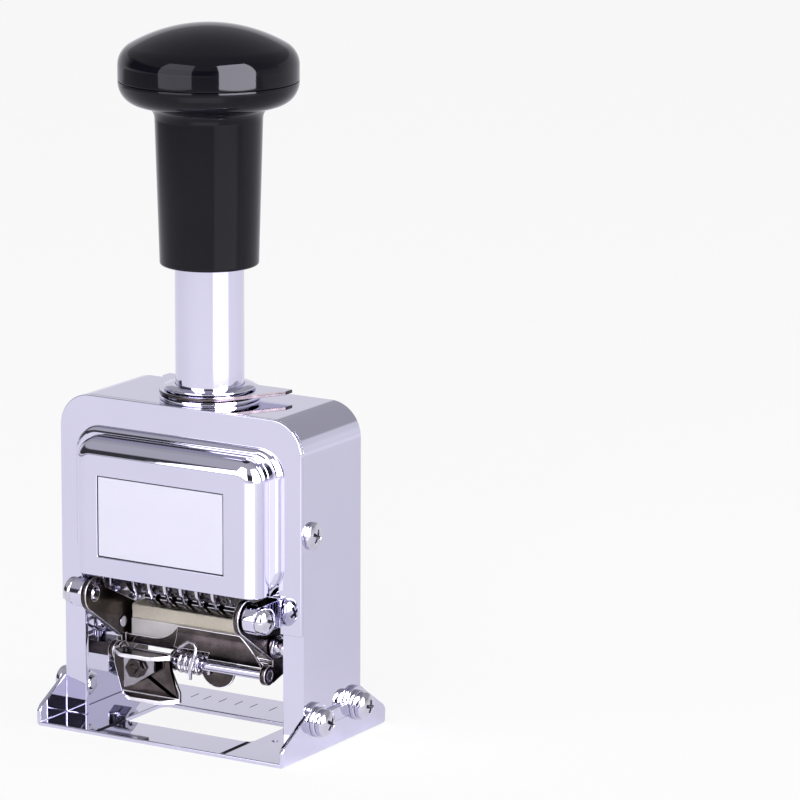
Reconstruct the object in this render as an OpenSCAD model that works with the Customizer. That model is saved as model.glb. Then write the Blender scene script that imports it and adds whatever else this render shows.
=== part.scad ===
// Hand numbering machine: a plunger in a chromed frame carries six number
// wheels down onto the paper while the ink pad cradle swings out of the way.
// Millimetres, +Z up, origin on the table under the middle of the base,
// front (name card) towards -Y.

/* [Frame] */
// Width over the frame's side walls
frame_w = 62; // [60:0.5:66]
// Height of the frame's top above the table
frame_h = 73.6; // [72:0.2:80]
// Depth from the front cover's face to the frame's back edge
frame_d = 24.3; // [24:0.1:27]
// Thickness of the frame's walls
wall_t = 1.5; // [1.2:0.1:1.7]
// Outer radius of the frame's two top corners
frame_r = 7.5; // [5:0.5:10]
// Room between the pivot lugs and the legs' flanges
leg_room = 1.75; // [1:0.05:2.2]
// Thickness of the frame's front and back flanges
flange_t = 1.2; // [1:0.1:1.3]

/* [Front cover] */
// Thickness of the front cover sheet
cover_t = 1.08; // [0.9:0.02:1.2]
// Height of the seam where the cover's legs end
seam_z = 26.9; // [24:0.1:29]
// Gap between the pivot lugs and the cover's lower edge
skirt_gap = 1.5; // [0.5:0.05:2]
// Half width of the cover's low outer step
step_half = 26.3; // [25:0.1:27]
// Height of the low outer step over the cover's face
step_h = 1.6; // [1.2:0.1:2]
// Distance from the frame's top to the step's upper edge
step_drop = 6.3; // [5:0.1:8]
// Half width of the name card housing at its foot
bulge_half = 22.6; // [21:0.1:23]
// How far the housing stands out over the step
bulge_h = 4.9; // [4:0.1:6]
// Radius of the housing's front edge
bulge_round = 4.2; // [2:0.1:4.6]
// Distance from the step's upper edge to the housing's foot
bulge_drop = 0.8; // [0.5:0.1:2]
// Width of the name card
card_w = 32.5; // [26:0.5:34]
// Height of the name card
card_h = 18; // [14:0.5:20]
// Depth of the name card's recess
card_recess = 0.45; // [0.3:0.05:0.6]

/* [Base] */
// Depth of the base, front to back
base_d = 42; // [40:0.5:50]
// Thickness of the base sheet
base_t = 1.0; // [0.8:0.05:1.2]
// Height of the base screws' axis
base_screw_z = 7.2; // [6.6:0.1:8]
// Front base screw, forward of the middle
base_screw_front = 7.1; // [6:0.1:7.2]
// Rear base screw, behind the middle
base_screw_rear = 9.0; // [8:0.1:9.5]
// Radius of the humps round the base screws
hump_r = 4.2; // [3.8:0.1:4.6]
// Length of the print window across the base
window_w = 33.4; // [31.5:0.2:38]
// Front edge of the print window, forward of the middle
window_front = 10.0; // [8:0.5:12]
// Back edge of the print window, behind the middle
window_back = 6.4; // [5:0.2:8]

/* [Plunger] */
// How far the plunger travels
stroke = 25.2; // [24:0.1:26.5]
// Outer diameter of the plunger tube
shaft_d = 15; // [13:0.5:16]
// Wall of the plunger tube
shaft_wall = 1.4; // [1:0.1:2]
// Diameter of the collar's flange on the frame's top
collar_d = 22; // [20.5:0.5:23]
// Diameter of the handle's lower end
grip_d = 21.5; // [20:0.5:24]
// Diameter of the handle's neck under the knob
neck_d = 23.3; // [22:0.1:26]
// Diameter of the knob
knob_d = 39; // [34:0.5:41]
// Height of the grip from its lower end to the knob's seam
grip_h = 39.3; // [36:0.5:46]
// Height of the domed cap over the seam
cap_h = 13.1; // [11:0.1:15]
// Radius of the cap's shoulder
cap_round = 5; // [4:0.1:6]

/* [Number wheels] */
// Radius over the wheels' raised types
type_r = 9.0; // [8.6:0.05:9.1]
// How far the types stand out of the wheel's rim
type_h = 0.9; // [0.6:0.1:1.1]
// Width of one type block
type_w = 3.9; // [3.2:0.1:4.3]
// Distance from one wheel to the next
wheel_pitch = 4.14; // [4:0.02:4.3]
// Left face of the first wheel, left of the middle
wheels_left = 14.3; // [13.9:0.1:14.5]
// Diameter of the wheel shaft
shaft_pin_d = 5; // [4:0.1:6]
// Width of the groove in which the pawl blades run
groove_w = 1.12; // [1:0.02:1.2]

/* [Ink pad cradle] */
// How far the cradle's pivot stands out of the cover's face
pivot_out = 4.57; // [4.3:0.05:4.8]
// Height of the cradle's pivot
pivot_z = 30.65; // [30:0.05:31]
// Thickness of the cradle's two arms
arm_t = 1.4; // [1:0.1:1.6]
// Half width of the felt pad and its tray
pad_half = 17.9; // [15:0.1:18.4]
// Depth of the felt pad, front to back
felt_d = 9.2; // [7:0.2:10]
// Thickness of the felt pad under the types
felt_h = 2.3; // [2:0.1:4]
// How far the felt's edges rise round the types
felt_rise = 1.0; // [0.4:0.1:1.1]
// Height of the pad tray
tray_h = 4.7; // [4.4:0.1:6]
// Diameter of the rollers on the arms
roller_d = 5; // [4:0.1:5.4]
// Diameter of the cross rod
rod_d = 2.4; // [2:0.1:2.8]

/* [Springs and screws] */
// Wire of the two return springs
spring_wire = 0.9; // [0.7:0.05:1]
// Turns of each return spring
spring_turns = 16; // [12:1:18]
// Mean radius of the return springs
spring_r = 3.0; // [2.8:0.1:3.2]
// Wire of the cradle's torsion spring
coil_wire = 0.85; // [0.6:0.05:0.9]
// Turns of the cradle's torsion spring
coil_turns = 4; // [3:1:5]
// Diameter of the pan head screws' heads
head_d = 6; // [5.4:0.1:6.2]
// Diameter of the screws' threads
thread_d = 3; // [2.5:0.1:3.4]
// Width of the base nuts over their flats
nut_flats = 5; // [4.4:0.1:5.1]

/* [Clearances] */
// Gap between pieces that move past each other
gap = 0.3; // [0.2:0.05:0.4]
// Running clearance between a pin and its bore, on the radius
run = 0.05; // [0.02:0.01:0.09]

/* [Hidden] */
$fn = 48;

chrome = [0.78, 0.78, 0.85];
nickel = [0.30, 0.27, 0.27];
black_plastic = [0.08, 0.08, 0.10];
steel = [0.62, 0.62, 0.66];
felt_cream = [0.90, 0.86, 0.76];

// Frame planes
half_w = frame_w / 2;
inner_half = half_w - wall_t;
front_y = -frame_d / 2;
shell_y = front_y + cover_t;
back_y = frame_d / 2;
top_in = frame_h - wall_t;
shell_r = frame_r - wall_t;

// Heights that follow the stroke
paper_gap = 0.3;
wheel_z = stroke + type_r + paper_gap;
felt_top = wheel_z - type_r - gap;

// Stack on the frame's top
collar_t = 1.0;
lock_t = 0.8;
ring_h = 0.9;
lock_z = frame_h + collar_t + gap;
ring_z = lock_z + lock_t + gap;
stack_top = ring_z + ring_h;
collar_neck_r = shaft_d / 2 + 0.95;
lock_travel = 1.2;
grip_z = stack_top + stroke + 3 * gap;
seam_knob_z = grip_z + grip_h;

// Carriage
side_half = 18.2;
plate_t = 1.0;
nut_h = 2.4;
crosshead_t = 2.0;
washer_t = 1.2;
washer_top = top_in - nut_h - gap;
crosshead_top = washer_top - washer_t;
crosshead_z = crosshead_top - crosshead_t;
carriage_half_d = 8;
guide_y = 6;
guide_x = inner_half - 4;
guide_rod_r = 1.5;
guide_reach = guide_x + guide_rod_r - inner_half + shell_r;
guide_top = top_in - shell_r + sqrt(pow(shell_r, 2) - pow(max(0, guide_reach), 2)) - 0.05;
foot_h = 3;
foot_top = base_screw_z + nut_flats / sqrt(3) + 0.6 + foot_h;
tube_nut_h = 3;

// Wheels
wheel_gap = 0.12;
bore_r = shaft_pin_d / 2 + run;
ratchet_r = 7.6;
blade_t = 0.7;
blade_tip_r = ratchet_r + 0.18;
comb_y = -11.3;
comb_z = wheel_z + 7.2;
pawl_bar_r = 11.8;
pawl_angle = 20;
pawl_left = -side_half + plate_t + 0.6;
pawl_right = 12.4;
pawl_t = 1.0;

// Repeat dial
dial_y = 1;
dial_z = wheel_z + 17.5;
dial_r = 5.5;
dial_t = 2;
dial_x = -side_half + plate_t + gap;

// Cradle
pivot_y = front_y - pivot_out;
arm_in = side_half + 0.8;
arm_out = arm_in + arm_t;
lug_in = arm_out + gap;
lug_t = 3.2;
lug_out = lug_in + lug_t;
leg_in = lug_out + leg_room;
lug_r = 3.2;
skirt_z = pivot_z + lug_r + skirt_gap;
ring_r = 3.9;
bracket_t = 1.4;
roller_y = pivot_y + 10.4;
roller_z = pivot_z - 8.45;
roller_pin_r = 1.0;
roller_l = 3.7;
rod_y = pivot_y + 8.7;
rod_z = pivot_z - 14.7;
floor_t = 1.0;
tray_z = felt_top - felt_h - tray_h;
wheels_right = 6 * wheel_pitch - wheels_left;
lip_y = -felt_d / 2 - 0.6;

// Curved front web of the cradle, from the tray's rim down to the cross rod
web_top = tray_z + tray_h;
web_t = 0.7;
web_run = lip_y - 0.3 - rod_y;
web_fall = web_top - rod_z - rod_d / 2 - 0.1;
web_r = (pow(web_run, 2) + pow(web_fall, 2)) / (2 * web_run);

// Release lever
lever_left = 0.4 - arm_in;
lever_right = lever_left + 15;
lever_shift = 2.2;
lever_t = 0.9;
lever_top = rod_z + 1.4;
lever_foot = rod_z - 9.0;
lever_y = rod_y - rod_d / 2 - 0.35;
lever_reach = 4.3;

// Rear cover
rear_foot = wheel_z + type_r + 0.5;

// Cover
step_top = frame_h - step_drop;
step_y = front_y - step_h;
bulge_y = step_y - bulge_h;
bulge_top = step_top - bulge_drop;
card_x = -0.85;
card_z = 48.7;
card_t = 0.3;

// Springs
spring_z0 = foot_top + spring_wire / 2;
spring_z1 = crosshead_z - spring_wire / 2;
ring_points = 8;
wire_sides = 6;

// --- shared shapes ---

// An outline drawn in (y, z), given a thickness along X from x0 to x1
module along_x(x0, x1) {
    translate([x0, 0, 0]) rotate([90, 0, 90]) linear_extrude(x1 - x0) children();
}

// An outline drawn in (x, z), given a thickness along Y from y0 to y1
module along_y(y0, y1) {
    translate([0, y1, 0]) rotate([90, 0, 0]) linear_extrude(y1 - y0) children();
}

module rod_x(x0, x1, y, z, r) {
    translate([x0, y, z]) rotate([0, 90, 0]) cylinder(h = x1 - x0, r = r);
}

module both_sides() {
    children();
    mirror([1, 0, 0]) children();
}

// Upright outline with two round upper corners, foot at z0
module arch(half, z0, z1, r) {
    translate([-half, z0]) square([2 * half, z1 - r - z0]);
    translate([r - half, z0]) square([2 * (half - r), z1 - z0]);
    for (side = [-1, 1]) translate([side * (half - r), z1 - r]) circle(r = r);
}

module rounded_box(x0, y0, x1, y1, r) {
    translate([x0 + r, y0]) square([x1 - x0 - 2 * r, y1 - y0]);
    translate([x0, y0 + r]) square([x1 - x0, y1 - y0 - 2 * r]);
    for (x = [x0 + r, x1 - r]) for (y = [y0 + r, y1 - r]) translate([x, y]) circle(r = r);
}

// Pan head with a cross recess, its seat at x = 0, pointing along +X
module pan_head(d, h) {
    rise = h * 0.45;
    difference() {
        rotate([0, 90, 0]) rotate_extrude()
            polygon([[0, 0], [d / 2, 0], [d / 2, h - rise], [d * 0.42, h - rise * 0.4],
                     [d * 0.27, h], [0, h]]);
        for (turn = [0, 90]) rotate([45 + turn, 0, 0])
            translate([h - 0.9, -d * 0.3, -0.35]) cube([1, d * 0.6, 0.7]);
    }
}

// Screw along +X: head seat at x0, shank running back to x1
module screw_x(x0, x1, y, z, d, h) {
    translate([x0, y, z]) pan_head(d, h);
    rod_x(x1, x0, y, z, thread_d / 2);
}

module hex_nut_x(x0, x1, y, z, flats) {
    along_x(x0, x1) translate([y, z]) difference() {
        rotate(30) circle(r = flats / sqrt(3), $fn = 6);
        circle(r = thread_d / 2);
    }
}

// Tube swept along points; ref is a direction that no stretch follows
function unit(v) = v / norm(v);
function tangent(p, i) = unit(p[min(i + 1, len(p) - 1)] - p[max(i - 1, 0)]);
function section(p, i, r, ref) =
    let (t = tangent(p, i), u = unit(cross(ref, t)), v = cross(t, u))
    [for (k = [0:wire_sides - 1])
        p[i] + r * (cos(k * 360 / wire_sides) * u + sin(k * 360 / wire_sides) * v)];

module swept_wire(p, r, ref) {
    n = len(p);
    s = wire_sides;
    rings = [for (i = [0:n - 1]) each section(p, i, r, ref)];
    sides = [for (i = [0:n - 2]) for (k = [0:s - 1]) let (a = i * s + k, b = i * s + (k + 1) % s)
        each [[a, a + s, b + s], [a, b + s, b]]];
    first = [for (k = [1:s - 2]) [0, k, k + 1]];
    last = [for (k = [1:s - 2]) [(n - 1) * s, (n - 1) * s + k + 1, (n - 1) * s + k]];
    polyhedron(concat(rings, [p[0], p[n - 1]]), concat(sides, first, last));
}

// Least gap between a wire's turns, measured from point to point
function least_gap(p, d) =
    min([for (i = [0:len(p) - 1]) for (j = [i + ring_points / 2 + 1:1:len(p) - 1]) norm(p[i] - p[j])]) - d;

function helix(turns, r, length) =
    [for (i = [0:turns * ring_points])
        let (a = i * 360 / ring_points)
        [r * cos(a), r * sin(a), length * i / (turns * ring_points)]];

// --- base ---

// Side view of the base's upright flange
module flange_outline() {
    half_d = base_d / 2;
    front = -base_screw_front;
    rear = base_screw_rear;
    saddle = base_screw_z + 1.3;
    polygon([[-half_d, 0], [half_d, 0], [half_d, 3.5], [half_d - 0.8, 4.6],
             [rear + hump_r * 0.7, base_screw_z + hump_r * 0.7], [rear, base_screw_z],
             [rear - hump_r * 0.7, saddle], [front + hump_r * 0.7, saddle], [front, base_screw_z],
             [front - hump_r * 0.7, base_screw_z + hump_r * 0.7],
             [0.8 - half_d, 4.6], [-half_d, 3.5]]);
    for (y = [front, rear]) translate([y, base_screw_z]) circle(r = hump_r);
}

module base_plate() {
    color(chrome) {
        difference() {
            translate([-half_w, -base_d / 2, 0]) cube([frame_w, base_d, base_t]);
            translate([0, 0, -1]) linear_extrude(base_t + 2)
                rounded_box(-window_w / 2, -window_front, window_w / 2, window_back, 2);
            for (side = [-1, 1]) translate([side * 20.75, -window_front + 3.4, -1])
                cylinder(h = base_t + 2, r = 0.6);
        }
        both_sides() difference() {
            along_x(half_w, half_w + base_t) flange_outline();
            for (y = [-base_screw_front, base_screw_rear])
                rod_x(half_w - 1, half_w + base_t + 1, y, base_screw_z, thread_d / 2 + run);
        }
    }
}

module base_screws() {
    head_x = half_w + base_t + 1.1;
    color(steel) both_sides() for (y = [-base_screw_front, base_screw_rear])
        screw_x(head_x, inner_half - 3.2, y, base_screw_z, head_d, 2);
}

module base_washers() {
    color(steel) both_sides() for (y = [-base_screw_front, base_screw_rear])
        difference() {
            rod_x(half_w + base_t, half_w + base_t + 1.1, y, base_screw_z, head_d / 2 + 0.3);
            rod_x(half_w, half_w + base_t + 2, y, base_screw_z, thread_d / 2 + run);
        }
}

module base_nuts() {
    color(steel) both_sides() for (y = [-base_screw_front, base_screw_rear])
        hex_nut_x(inner_half - nut_h, inner_half, y, base_screw_z, nut_flats);
}

// --- frame and covers ---

module outer_frame() {
    color(chrome) difference() {
        union() {
            along_y(shell_y, back_y) difference() {
                arch(half_w, base_t, frame_h, frame_r);
                arch(inner_half, base_t - 1, top_in, shell_r);
            }
            for (y = [shell_y, back_y - cover_t - flange_t]) along_y(y, y + flange_t) difference() {
                arch(inner_half, base_t, top_in, shell_r);
                translate([-leg_in, 0]) square([2 * leg_in, frame_h]);
            }
        }
        translate([0, 0, top_in - 1]) cylinder(h = wall_t + 2, r = collar_neck_r + run);
        // Room for the rear nuts
        translate([-inner_half, back_y - cover_t - flange_t - 1, 0])
            cube([2 * inner_half, flange_t + 1.5, foot_top + 2]);
        both_sides() {
            for (y = [-base_screw_front, base_screw_rear])
                rod_x(inner_half - 1, half_w + 1, y, base_screw_z, thread_d / 2 + run);
            rod_x(inner_half - 1, half_w + 1, side_screw_y, side_screw_z, thread_d / 2 + run);
        }
        for (x = [-1, 1]) translate([x * rear_screw_x, back_y, rear_screw_z]) rotate([90, 0, 0])
            cylinder(h = 6, r = thread_d / 2 + run);
    }
}

side_screw_y = shell_y + flange_t + 2;
side_screw_z = 48.4;
rear_screw_x = inner_half - thread_d / 2 - 0.425;
rear_screw_z = frame_h - 13.6;

// A mushroom shaped corner of a pressed housing, axis along -Y
module corner_puck(r, height, edge) {
    rotate([90, 0, 0]) rotate_extrude()
        polygon(concat([[0, 0], [r, 0]],
            [for (a = [0:22.5:90]) [r - edge + edge * cos(a), height - edge + edge * sin(a)]],
            [[0, height]]));
}

// Pressed housing standing out of the plane y by height
module housing(half, top, foot, r, y, height, edge) {
    hull() for (side = [-1, 1]) for (z = [foot, top - r])
        translate([side * (half - r), y, z]) corner_puck(r, height, edge);
}

module front_cover() {
    below = skirt_z - 12;
    color(chrome) difference() {
        union() {
            difference() {
                along_y(front_y, shell_y) arch(half_w, seam_z, frame_h, frame_r);
                translate([-leg_in, front_y - 1, seam_z - 1])
                    cube([2 * leg_in, cover_t + 2, skirt_z - seam_z + 1]);
            }
            housing(step_half, step_top, skirt_z + 5, 5, front_y, step_h, 0.8);
            housing(bulge_half, bulge_top, below, 6, step_y, bulge_h, bulge_round);
        }
        housing(step_half - cover_t, step_top - cover_t, below, 5 - cover_t,
                shell_y + 1, step_h + 1, 0.5);
        housing(bulge_half - cover_t, bulge_top - cover_t, below, 6 - cover_t,
                step_y + cover_t + 0.1, bulge_h, bulge_round - 0.6);
        translate([-half_w, bulge_y - 1, below - 14])
            cube([frame_w, front_y - bulge_y + 1, skirt_z - below + 14]);
        translate([card_x - card_w / 2, bulge_y - 1, card_z - card_h / 2])
            cube([card_w, 1 + card_recess, card_h]);
    }
}

module name_card() {
    inset = 0.25;
    color("white") translate([card_x - card_w / 2 + inset, bulge_y + card_recess - card_t,
                              card_z - card_h / 2 + inset])
        cube([card_w - 2 * inset, card_t, card_h - 2 * inset]);
}

module rear_cover() {
    color(chrome) difference() {
        along_y(back_y - cover_t, back_y) difference() {
            arch(inner_half - 0.1, rear_foot, top_in - 0.1, shell_r - 0.1);
            translate([0, rear_foot - 3]) circle(r = shaft_d * 0.8);
        }
        for (x = [-1, 1]) translate([x * rear_screw_x, back_y + 1, rear_screw_z]) rotate([90, 0, 0])
            cylinder(h = cover_t + 2, r = thread_d / 2 + run);
    }
}

module rear_screws() {
    color(steel) for (x = [-1, 1]) translate([x * rear_screw_x, back_y, rear_screw_z])
        rotate([0, 0, 90]) {
            pan_head(head_d * 0.85, 1.4);
            rod_x(-cover_t - flange_t, 0, 0, 0, thread_d / 2);
        }
}

module side_screws() {
    color(steel) both_sides()
        screw_x(half_w, inner_half - bracket_t - 0.6, side_screw_y, side_screw_z, head_d, 1.4);
}

// --- cradle pivots ---

module pivot_brackets() {
    inner = shell_y + flange_t;
    color(chrome) both_sides() difference() {
        union() {
            along_x(lug_in, lug_out) {
                translate([pivot_y, pivot_z]) circle(r = lug_r);
                translate([pivot_y, pivot_z - lug_r]) square([inner - pivot_y + bracket_t, 2 * lug_r]);
            }
            translate([lug_in, inner, pivot_z - lug_r])
                cube([inner_half - lug_in, bracket_t, 2 * lug_r + 5]);
            translate([inner_half - bracket_t, inner, pivot_z - lug_r])
                cube([bracket_t, 4, side_screw_z - pivot_z + lug_r + 4]);
        }
        rod_x(lug_in - 1, lug_out + 1, pivot_y, pivot_z, thread_d / 2 + run);
        rod_x(inner_half - bracket_t - 1, inner_half + 1, side_screw_y, side_screw_z,
              thread_d / 2 + run);
    }
}

module pivot_screws() {
    color(steel) both_sides() {
        screw_x(lug_out, arm_in - gap, pivot_y, pivot_z, head_d * 0.97, 2.4);
        rod_x(arm_in - gap - 0.4, arm_in - gap, pivot_y, pivot_z, thread_d / 2 + 0.25);
    }
}

// --- plunger guide ---

module guide_rods() {
    color(steel) both_sides() translate([guide_x, guide_y, foot_top - foot_h])
        cylinder(h = guide_top - foot_top + foot_h, r = guide_rod_r);
}

module guide_feet() {
    color(nickel) both_sides() difference() {
        translate([guide_x - 2.8, guide_y - 3, foot_top - foot_h])
            cube([inner_half - guide_x + 2.8, 6, foot_h]);
        translate([guide_x, guide_y, foot_top - foot_h - 1])
            cylinder(h = foot_h + 2, r = guide_rod_r + 0.02);
    }
}

spring_points = helix(spring_turns, spring_r, spring_z1 - spring_z0);
echo("Least gap in a return spring, mm", least_gap(spring_points, spring_wire));

module return_springs() {
    color(steel) for (side = [-1, 1]) translate([side * guide_x, guide_y, spring_z0])
        swept_wire(spring_points, spring_wire / 2, [0, 0, 1]);
}

module collar() {
    tube_foot = top_in - nut_h;
    color(chrome) difference() {
        union() {
            translate([0, 0, frame_h]) cylinder(h = collar_t, d = collar_d);
            translate([0, 0, tube_foot]) cylinder(h = ring_z - tube_foot, r = collar_neck_r);
        }
        translate([0, 0, tube_foot - 1]) cylinder(h = ring_z - tube_foot + 2, r = shaft_d / 2 + run);
    }
}

module collar_nut() {
    color(steel) translate([0, 0, top_in - nut_h]) difference() {
        cylinder(h = nut_h, r = collar_neck_r + 1.9, $fn = 6);
        translate([0, 0, -1]) cylinder(h = nut_h + 2, r = collar_neck_r + 0.02);
    }
}

module lock_ring() {
    outer = collar_neck_r + lock_travel + 0.35;
    color(chrome) translate([0, 0, ring_z]) rotate_extrude()
        polygon([[shaft_d / 2 + run, 0], [outer, 0], [outer, ring_h * 0.4],
                 [outer - 1, ring_h * 0.75], [shaft_d / 2 + 0.4, ring_h], [shaft_d / 2 + run, ring_h]]);
}

// Round at the front, flaring to a square tail at the back
module lock_plate() {
    r = collar_d / 2;
    lean = 28;
    color(chrome) translate([0, 0, lock_z]) linear_extrude(lock_t) difference() {
        union() {
            circle(r = r);
            polygon([[r * cos(lean), -r * sin(lean)], [r + 5, r * 0.5], [r + 5, r * 0.74],
                     [-r - 5, r * 0.74], [-r - 5, r * 0.5], [-r * cos(lean), -r * sin(lean)]]);
        }
        for (y = [0, -lock_travel]) translate([0, y]) circle(r = collar_neck_r + 0.1);
        translate([-collar_neck_r - 0.1, -lock_travel])
            square([2 * collar_neck_r + 0.2, lock_travel]);
    }
}

// --- handle ---

module plunger_tube() {
    foot = crosshead_z - tube_nut_h;
    color(chrome) difference() {
        translate([0, 0, foot]) cylinder(h = grip_z + grip_h * 0.7 - foot, d = shaft_d);
        translate([0, 0, foot - 1])
            cylinder(h = grip_z + grip_h * 0.7 - 3 - foot + 1, d = shaft_d - 2 * shaft_wall);
        translate([0, 0, foot]) cylinder(h = grip_z + grip_h, d = thread_d);
    }
}

module handle_grip() {
    bore_top = grip_z + grip_h * 0.7;
    low = grip_d / 2;
    high = neck_d / 2;
    rim = knob_d / 2;
    lip = 1.8;
    flare_r = 5;
    slope = 50.7;
    lip_z = seam_knob_z - lip * sin(slope);
    flare_z = lip_z - flare_r * sin(slope)
        - (rim - lip * (1 - cos(slope)) - high - flare_r * (1 - cos(slope))) * tan(90 - slope);
    color(black_plastic) difference() {
        rotate_extrude() polygon(concat(
            [[0, grip_z], [low - 0.5, grip_z], [low, grip_z + 0.6],
             [high, flare_z]],
            [for (a = [slope / 5:slope / 5:slope])
                [high + flare_r * (1 - cos(a)), flare_z + flare_r * sin(a)]],
            [for (a = [slope:-slope / 4:0])
                [rim - lip + lip * cos(a), seam_knob_z - lip * sin(a)]],
            [[0, seam_knob_z]]));
        translate([0, 0, grip_z - 1]) cylinder(h = bore_top - grip_z + 1, r = shaft_d / 2 + 0.02);
        translate([0, 0, bore_top - 1]) cylinder(h = grip_h, r = thread_d / 2 + run);
        translate([0, 0, seam_knob_z - 3]) cylinder(h = 4, r = head_d / 2 + 0.6);
    }
}

module handle_cap() {
    rim = knob_d / 2;
    edge = rim - cap_round / 2;
    crown_r = edge / sin(30);
    side_h = cap_h - crown_r * (1 - cos(30)) - cap_round * sin(60);
    color(black_plastic) translate([0, 0, seam_knob_z]) difference() {
        rotate_extrude() polygon(concat([[0, 0], [rim, 0]],
            [for (a = [0:7.5:60])
                [rim - cap_round * (1 - cos(a)), side_h + cap_round * sin(a)]],
            [for (a = [26:-4:2]) [crown_r * sin(a), cap_h - crown_r * (1 - cos(a))]],
            [[0, cap_h]]));
        translate([0, 0, -1]) cylinder(h = 4, r = rim - 6);
    }
}

module handle_screw() {
    seat = seam_knob_z - 3;
    color(steel) {
        translate([0, 0, seat]) rotate([0, -90, 0]) pan_head(head_d, 2.2);
        translate([0, 0, grip_z + grip_h * 0.7 - 3])
            cylinder(h = seat - grip_z - grip_h * 0.7 + 3, d = thread_d);
    }
}

// --- carriage ---

module stop_washer() {
    color(nickel) translate([0, 0, crosshead_top]) difference() {
        cylinder(h = washer_t, r = collar_neck_r + 1.6);
        translate([0, 0, -1]) cylinder(h = washer_t + 2, r = shaft_d / 2 + 0.02);
    }
}

module side_plate_outline() {
    translate([-carriage_half_d, wheel_z]) square([2 * carriage_half_d, crosshead_z - wheel_z + 0.5]);
    translate([0, wheel_z]) circle(r = 7.4);
    translate([comb_y - 1, comb_z - 2.2]) square([carriage_half_d, 4.4]);
}

module carriage_frame() {
    wing_half = inner_half - 1;
    color(nickel) {
        difference() {
            translate([0, 0, crosshead_z]) linear_extrude(crosshead_t) {
                translate([-side_half, -carriage_half_d]) square([2 * side_half, 2 * carriage_half_d]);
                rounded_box(-wing_half, -4.5, wing_half, guide_y + 3.4, 2);
            }
            translate([0, 0, crosshead_z - 1]) {
                cylinder(h = crosshead_t + 2, r = shaft_d / 2 + 0.02);
                for (side = [-1, 1]) translate([side * guide_x, guide_y])
                    cylinder(h = crosshead_t + 2, r = guide_rod_r + run);
            }
        }
        both_sides() difference() {
            along_x(side_half - plate_t, side_half) intersection() {
                side_plate_outline();
                translate([-frame_d, 0]) square([2 * frame_d, crosshead_z]);
            }
            rod_x(side_half - plate_t - 1, side_half + 1, 0, wheel_z, shaft_pin_d / 2 + 0.02);
            rod_x(side_half - plate_t - 1, side_half + 1, dial_y, dial_z, 1.22);
        }
    }
}

module tube_nut() {
    color(steel) translate([0, 0, crosshead_z - tube_nut_h]) difference() {
        cylinder(h = tube_nut_h, r = shaft_d / 2 + 3, $fn = 6);
        translate([0, 0, -1]) cylinder(h = tube_nut_h + 2, r = shaft_d / 2 + 0.02);
    }
}

// Plates that push the rollers forward as the carriage goes down
module cam_plates() {
    foot = stroke + base_t + 0.7;
    cam_front = -4.5;
    cam_back = 1.5;
    color(steel) both_sides() along_x(lug_in + 0.2, lug_in + 1.6) {
        translate([cam_front, foot + 2.5]) square([cam_back - cam_front, crosshead_z - foot - 2.5]);
        translate([cam_front + 2.5, foot]) square([cam_back - cam_front - 2.5, 3]);
        translate([cam_front + 2.5, foot + 2.5]) circle(r = 2.5);
    }
}

module wheel_shaft() {
    color(steel) {
        rod_x(-side_half, side_half, 0, wheel_z, shaft_pin_d / 2);
    }
}

module spacer(x0, x1) {
    difference() {
        rod_x(x0, x1, 0, wheel_z, shaft_pin_d / 2 + 1.2);
        rod_x(x0 - 1, x1 + 1, 0, wheel_z, shaft_pin_d / 2 + 0.02);
    }
}

module shaft_spacers() {
    color(steel) {
        spacer(-side_half + plate_t, pawl_left - 0.1);
        spacer(pawl_left + pawl_t + 0.1, -wheels_left - 0.1);
        spacer(wheels_right + 0.1, pawl_right - 0.1);
        spacer(pawl_right + pawl_t + 0.1, side_half - plate_t);
    }
}

// Spring blades that hold each wheel on its number
module detent_comb() {
    inner = side_half - plate_t;
    color(steel) {
        translate([-inner, comb_y - 0.6, comb_z - 1.6]) cube([2 * inner, 1.2, 3.2]);
        for (i = [0:5]) along_x(groove_x(i) - blade_t / 2, groove_x(i) + blade_t / 2)
            translate([0, wheel_z]) polygon([[comb_y - 0.6, 5.8], [comb_y + 0.1, 1.8], [-9.9, -1.8],
                [-8.5, -3.1], [-blade_tip_r * cos(20), -blade_tip_r * sin(20)],
                [-blade_tip_r * cos(13), -blade_tip_r * sin(13)], [-9.0, 0.4], [-9.9, 3.2],
                [comb_y + 0.6, 5.8]]);
    }
}

function groove_x(i) = i * wheel_pitch - wheels_left + wheel_gap / 2 + groove_w / 2;

module dial_stud() {
    outer = side_half;
    color(steel) {
        rod_x(-outer, dial_x + dial_t + gap, dial_y, dial_z, 1.2);
        rod_x(dial_x + dial_t + gap, dial_x + dial_t + gap + 0.6, dial_y, dial_z, 2);
    }
}

// Turns on its stud to choose how often a number repeats
module repeat_dial() {
    color(steel) difference() {
        union() {
            along_x(dial_x, dial_x + dial_t) translate([dial_y, dial_z]) difference() {
                circle(r = dial_r);
                for (i = [0:11]) rotate(i * 30) translate([dial_r + 0.3, 0]) circle(r = 0.8);
            }
            along_x(dial_x, dial_x + 0.8) translate([dial_y, dial_z]) rotate(60)
                translate([0, -0.8]) square([dial_r + 1.6, 1.6]);
        }
        rod_x(dial_x - 1, dial_x + dial_t + 1, dial_y, dial_z, 1.2 + run);
    }
}

// --- number wheels ---

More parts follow.
